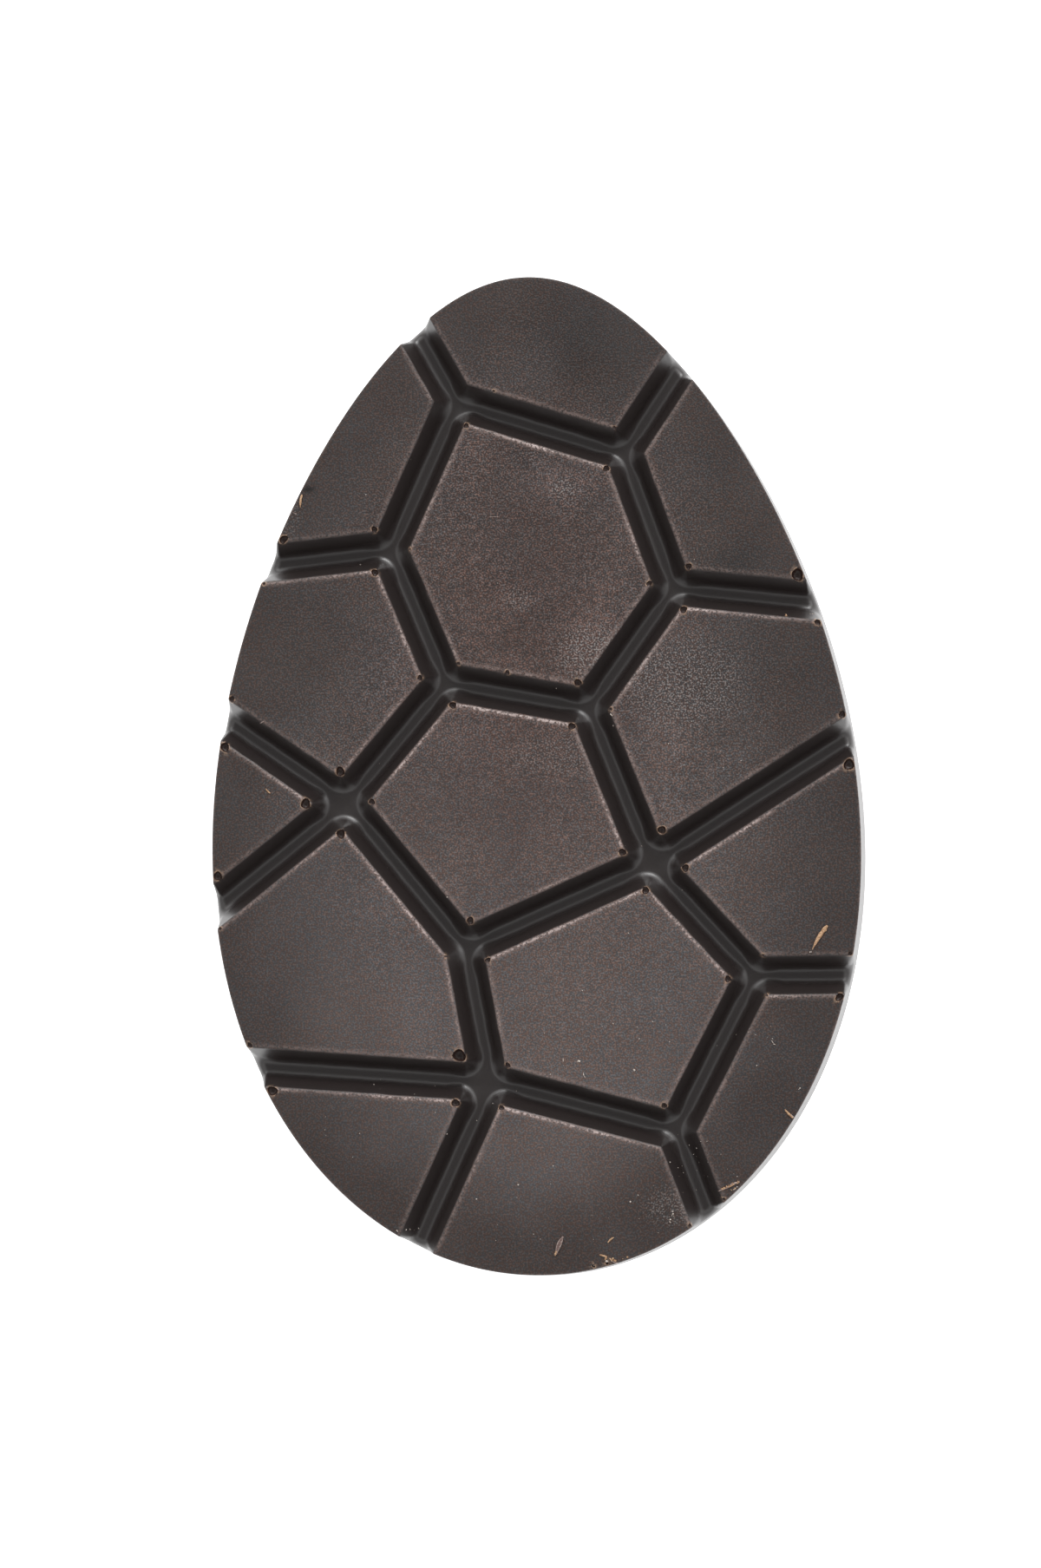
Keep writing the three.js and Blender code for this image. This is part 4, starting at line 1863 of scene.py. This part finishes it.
class Heap:
    """Gathers small meshes into one piece."""

    def __init__(self) -> None:
        """Starts with nothing."""
        self.points: list[np.ndarray] = []
        self.faces: list[np.ndarray] = []
        self.count = 0

    def add(self, points: np.ndarray, faces: np.ndarray) -> None:
        """Takes in one mesh.

        Args:
            points: Its points, one row each.
            faces: Its triangles.
        """
        self.points.append(points)
        self.faces.append(faces + self.count)
        self.count += len(points)

    def piece(self, name: str, finish: LooseFinish) -> bpy.types.Object:
        """Makes one piece of everything."""
        return new_piece(name, np.vstack(self.points), np.vstack(self.faces), finish.value.material())


@dataclass
class LooseShavings:
    """The few thin shavings that lie on the tiles."""

    ground: float
    name: str
    finish: LooseFinish
    shavings: Sequence[Shaving]
    first_seed: int

    def build(self) -> bpy.types.Object:
        """Builds all of them as one piece.

        Returns:
            The object.
        """
        heap = Heap()
        for seed, shaving in enumerate(self.shavings, self.first_seed):
            heap.add(*shaving.mesh(seed, self.ground))
        return heap.piece(self.name, self.finish)


@dataclass(frozen=True)
class CrumbPatch:
    """A patch of crumbs: its middle, its half sizes, its heading in degrees, how many, and how large."""

    x: float
    y: float
    long: float
    wide: float
    heading: float
    count: int
    size: float

    def places(self, draw: np.random.Generator) -> np.ndarray:
        """The crumbs' places, even along the patch and densest in the middle of its width.

        Args:
            draw: Where the random numbers come from.

        Returns:
            The places, one row each.
        """
        spread = 0.45
        along = draw.uniform(-1, 1, self.count) * self.long
        across = draw.normal(0, spread, self.count) * self.wide
        direction = unit(self.heading)
        return np.array([self.x, self.y]) + np.outer(along, direction) + np.outer(across, left_of(direction))


@dataclass
class Crumbs:
    """Crumbs on the tiles: uneven grains, each a dented little solid of its own."""

    form: SlabForm
    name: str
    finish: LooseFinish
    patches: Sequence[CrumbPatch]
    seed: int
    from_rim: float = 1.05
    size_spread: float = 0.35
    squash_range: tuple[float, float] = (0.5, 1.3)
    flatness: float = 0.7
    dent: float = 0.22
    sunk: float = 0.01

    def build(self) -> bpy.types.Object:
        """Builds all of them as one piece.

        Returns:
            The object.
        """
        draw, heap = np.random.default_rng(self.seed), Heap()
        body, body_faces = self._ball()
        for patch in self.patches:
            places = patch.places(draw)
            places = places[self.form.outline.inset_of(places) > self.from_rim]
            heights = self.form.heights(places)
            sizes = patch.size * draw.lognormal(0, self.size_spread, len(places))
            for place, height, size in zip(places, heights, sizes):
                squash = draw.uniform(*self.squash_range, 3) * (1, 1, self.flatness)
                dents = 1 + self.dent * draw.standard_normal((len(body), 1))
                turn = np.array(Matrix.Rotation(draw.uniform(0, FULL_TURN), 3, "Z"))
                grain = (body * dents * squash * size / 2) @ turn
                grain[:, 2] -= grain[:, 2].min() + self.sunk
                heap.add(grain + (*place, height), body_faces)
        return heap.piece(self.name, self.finish)

    @staticmethod
    def _ball() -> tuple[np.ndarray, np.ndarray]:
        """Makes a small ball of radius 1.

        Returns:
            Its points and triangles.
        """
        ball = bmesh.new()
        bmesh.ops.create_icosphere(ball, subdivisions=2, radius=1.0)
        points = np.array([tuple(v.co) for v in ball.verts])
        faces = np.array([[v.index for v in f.verts] for f in ball.faces])
        ball.free()
        return points, faces


# ---- the studio ----


@dataclass(frozen=True)
class SoftBox:
    """A soft light that looks at the slab's middle, with its sizes in metres and its angles in degrees."""

    heading: float
    elevation: float
    distance: float
    width: float
    height: float
    power: float

    def build(self) -> None:
        """Hangs the light."""
        lamp = bpy.data.lights.new("soft_box", "AREA")
        lamp.shape = "RECTANGLE"
        lamp.size = self.width
        lamp.size_y = self.height
        lamp.energy = self.power
        light = bpy.data.objects.new(lamp.name, lamp)
        flat = unit(self.heading) * math.cos(math.radians(self.elevation))
        light.location = Vector((*flat, math.sin(math.radians(self.elevation)))) * self.distance
        light.rotation_euler = light.location.to_track_quat("Z", "Y").to_euler()
        bpy.context.scene.collection.objects.link(light)


@dataclass(frozen=True)
class Studio:
    """A plain pale floor in a white tent, and the camera high above it.

    The floor's size and the soft box's are in metres. Headings are in degrees from +X.
    """

    floor_size: float = 16.0
    floor_gap: float = 0.02
    floor_glow: float = 0.75
    floor_speckle: Pattern = Pattern(3.0, low=0.3, high=0.7)
    floor_tones: tuple[tuple, tuple] = (shade(0.88, 0.885, 0.89), shade(0.90, 0.90, 0.90))
    floor_roughness: float = 0.6
    floor_relief: float = 0.005
    narrow_end: float = 78.0
    zenith: float = 0.29
    shoulder: float = 1.285
    horizon: float = 0.9
    shoulder_rise: tuple[float, float] = (0.45, 0.62)
    shoulder_fall: tuple[float, float] = (0.80, 0.90)
    wall: float = 2.65
    wall_sides: tuple[float, float] = (0.1, 0.65)
    wall_foot: tuple[float, float] = (0.28, 0.46)
    wall_head: tuple[float, float] = (0.60, 0.72)
    camera_place: tuple[float, float, float] = (44.47, -33.49, 482.6)
    camera_aim: tuple[float, float, float] = (-1.78, -1.89, 8.0)
    camera_roll: float = -0.883
    lens: float = 73.9
    nearest_seen: float = 0.01

    def build(self) -> None:
        """Builds the floor, the tent, the soft box and the camera."""
        bpy.context.scene.view_settings.view_transform = "Standard"
        self._floor()
        self._tent()
        SoftBox(self.narrow_end, elevation=34.0, distance=1.1, width=0.5, height=0.2, power=3.8).build()
        self._camera()

    def _floor(self) -> None:
        """Lays the floor just under the slab."""
        half, depth = self.floor_size / 2, -self.floor_gap * MM
        mesh = bpy.data.meshes.new("floor")
        corners = [(-half, -half, depth), (half, -half, depth), (half, half, depth), (-half, half, depth)]
        mesh.from_pydata(corners, [], [(0, 1, 2, 3)])
        nodes = SurfaceNodes("pale_floor")
        speckle = nodes.pattern(self.floor_speckle)
        mesh.materials.append(
            nodes.finish(
                {
                    "Base Color": nodes.mix(speckle, *self.floor_tones),
                    "Roughness": self.floor_roughness,
                    "Normal": nodes.bump(speckle, self.floor_relief),
                    "Emission Color": WHITE,
                    "Emission Strength": self.floor_glow,
                }
            )
        )
        floor = bpy.data.objects.new("floor", mesh)
        bpy.context.scene.collection.objects.link(floor)

    def _tent(self) -> None:
        """Lights the tent: dim overhead, a bright ring round that, and a bright wall past the narrow end."""
        world = bpy.data.worlds.new("tent")
        bpy.context.scene.world = world
        nodes = NodeTree(world)
        way = nodes.add("ShaderNodeTexCoord").outputs["Generated"]
        height = nodes.add("ShaderNodeSeparateXYZ", {0: way}).outputs["Z"]
        ring = nodes.ramp(height, *self.shoulder_rise, self.horizon, self.shoulder)
        overhead = nodes.ramp(height, *self.shoulder_fall, 0.0, self.shoulder - self.zenith)
        inputs = {0: way, 1: (*unit(self.narrow_end), 0.0)}
        facing = nodes.add("ShaderNodeVectorMath", inputs, operation="DOT_PRODUCT").outputs["Value"]
        wall = nodes.ramp(facing, *self.wall_sides, 0.0, self.wall)
        wall = nodes.math("MULTIPLY", wall, nodes.ramp(height, *self.wall_foot))
        wall = nodes.math("MULTIPLY", wall, nodes.ramp(height, *self.wall_head, 1.0, 0.0))
        strength = nodes.math("ADD", nodes.math("SUBTRACT", ring, overhead), wall)
        glow = nodes.add("ShaderNodeBackground", {"Strength": strength})
        nodes.add("ShaderNodeOutputWorld", {0: glow.outputs[0]})

    def _camera(self) -> None:
        """Sets up the camera."""
        lens = bpy.data.cameras.new("camera")
        lens.lens = self.lens
        lens.clip_start = self.nearest_seen
        camera = bpy.data.objects.new("camera", lens)
        place, aim = Vector(self.camera_place), Vector(self.camera_aim)
        back = (place - aim).normalized()
        right = Vector((0, 1, 0)).cross(back).normalized()
        level = Matrix((right, back.cross(right), back)).transposed()
        turn = level @ Matrix.Rotation(math.radians(self.camera_roll), 3, "Z")
        camera.matrix_world = Matrix.Translation(place * MM) @ turn.to_4x4()
        bpy.context.scene.collection.objects.link(camera)
        bpy.context.scene.camera = camera


TAN_SHAVINGS = (
    Shaving((43.14, -23.66), (40.82, -27.14), 0.80, bend=16, thick=0.24, lift=0.2, taper=0.7),
    Shaving((43.05, -24.3), (42.1, -24.75), 0.22, bend=-30, thick=0.16, taper=0.5),
    Shaving((10.05, -69.62), (10.95, -68.81), 0.24, bend=-34, thick=0.18),
    Shaving((8.81, -71.32), (9.88, -71.64), 0.30, bend=10, thick=0.18),
    Shaving((9.88, -71.6), (9.56, -72.14), 0.32, thick=0.17),
    Shaving((-34.1, 42.4), (-34.4, 40.45), 0.36, bend=26, thick=0.22, taper=0.3),
    Shaving((36.35, -50.45), (37.5, -51.7), 0.26, bend=8, thick=0.16, taper=-0.6),
    Shaving((-40.1, -1.75), (-39.4, -2.5), 0.22, bend=20),
    Shaving((2.5, -70.7), (2.25, -71.45), 0.38, thick=0.3, taper=0.3),
    Shaving((27.3, -61.9), (28.9, -61.15), 0.2, bend=14, thick=0.14),
)
PALE_SHAVINGS = (
    Shaving((3.48, -68.65), (2.35, -71.25), 0.17, bend=64, thick=0.30),
    Shaving((3.48, -68.65), (2.45, -71.15), 0.17, bend=-28, thick=0.30),
    Shaving((10.45, -72.28), (11.46, -72.62), 0.18),
    Shaving((26.35, -62.25), (29.55, -60.82), 0.2, bend=12),
    Shaving((28.1, -61.35), (29.1, -60.95), 0.2, bend=-14),
    Shaving((37.2, -51.2), (37.75, -51.75), 0.16),
    Shaving((-35.5, 39.75), (-34.9, 39.4), 0.12),
    Shaving((-40.85, 8.05), (-40.3, 8.35), 0.12),
    Shaving((-5.9, 38.22), (-4.25, 38.2), 0.07, bend=6, thick=0.03),
)
WHITE_SHAVINGS = (
    Shaving((6.88, -44.72), (7.1, -45.42), 0.13, bend=50),
    Shaving((3.93, -42.55), (3.9, -43.05), 0.12),
    Shaving((34.62, -40.35), (34.85, -40.75), 0.11),
    Shaving((34.85, -40.85), (35.2, -41.0), 0.11),
    Shaving((11.75, 8.3), (12.1, 7.9), 0.16, bend=30),
)
HUSKS = (Shaving((3.48, -68.65), (2.35, -71.25), 0.66, bend=18, thick=0.26),)
CRUMB_PATCHES = (
    CrumbPatch(28.1, -61.45, 1.4, 0.22, 23.0, 34, 0.17),
    CrumbPatch(28.6, -61.95, 0.5, 0.2, 30.0, 8, 0.15),
    CrumbPatch(11.0, -72.2, 0.7, 0.18, -20.0, 14, 0.18),
    CrumbPatch(13.5, -71.6, 1.6, 0.15, 18.0, 12, 0.16),
    CrumbPatch(38.04, 22.2, 0.1, 0.05, 0.0, 2, 0.36),
    CrumbPatch(25.2, -65.75, 2.7, 0.06, 36.0, 30, 0.12),
)
SPECK_PATCHES = (
    CrumbPatch(20.0, -61.0, 9.0, 7.0, 30.0, 30, 0.10),
    CrumbPatch(19.5, -65.9, 0.9, 0.3, 80.0, 9, 0.17),
    CrumbPatch(8.0, -62.0, 22.0, 14.0, 0.0, 34, 0.10),
    CrumbPatch(5.0, -40.0, 16.0, 8.0, 10.0, 16, 0.11),
    CrumbPatch(25.0, 5.0, 12.0, 10.0, 0.0, 18, 0.10),
    CrumbPatch(-25.0, -50.0, 12.0, 12.0, 0.0, 14, 0.10),
    CrumbPatch(35.0, -40.0, 8.0, 7.0, 0.0, 10, 0.085),
    CrumbPatch(0.0, 10.0, 30.0, 60.0, 0.0, 36, 0.09),
    CrumbPatch(9.9, -72.2, 0.1, 0.1, 0.0, 2, 0.24),
    CrumbPatch(40.6, -27.5, 0.1, 0.1, 0.0, 2, 0.2),
    CrumbPatch(12.1, 6.6, 0.1, 0.1, 0.0, 2, 0.2),
    CrumbPatch(-20.4, -67.6, 2.2, 0.2, 0.0, 9, 0.13),
    CrumbPatch(14.4, -44.4, 0.05, 0.05, 0.0, 2, 0.18),
    CrumbPatch(6.2, -43.0, 0.15, 0.3, 0.0, 3, 0.13),
    CrumbPatch(38.4, -47.6, 0.5, 0.1, 45.0, 3, 0.13),
    CrumbPatch(28.9, -61.9, 0.35, 0.2, 40.0, 7, 0.15),
    CrumbPatch(2.2, -58.3, 0.05, 0.05, 0.0, 2, 0.17),
    CrumbPatch(42.1, 22.6, 0.6, 0.03, 0.0, 6, 0.13),
)


def main() -> None:
    """Builds the slab, what lies on it, and the studio."""
    logging.basicConfig(level=logging.INFO, format="%(message)s")
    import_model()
    low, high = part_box(SLAB_NODE)
    width, length, thickness = ((high - low) / MM).to_tuple()
    section = MouldSection(thickness)
    form = SlabForm(EggOutline(length, width), section)
    MouldedSlab(form).build()
    kinds = (
        ("tan_shavings", LooseFinish.TAN, TAN_SHAVINGS, 100),
        ("pale_shavings", LooseFinish.PALE, PALE_SHAVINGS, 200),
        ("white_shavings", LooseFinish.SPECK, WHITE_SHAVINGS, 400),
        ("curled_husk", LooseFinish.HUSK, HUSKS, 300),
    )
    for name, finish, shavings, first_seed in kinds:
        LooseShavings(thickness, name, finish, shavings, first_seed).build()
    Crumbs(form, "crumbs", LooseFinish.TAN, CRUMB_PATCHES, seed=31).build()
    Crumbs(form, "specks", LooseFinish.SPECK, SPECK_PATCHES, seed=47).build()
    Studio().build()


if __name__ == "__main__":
    main()
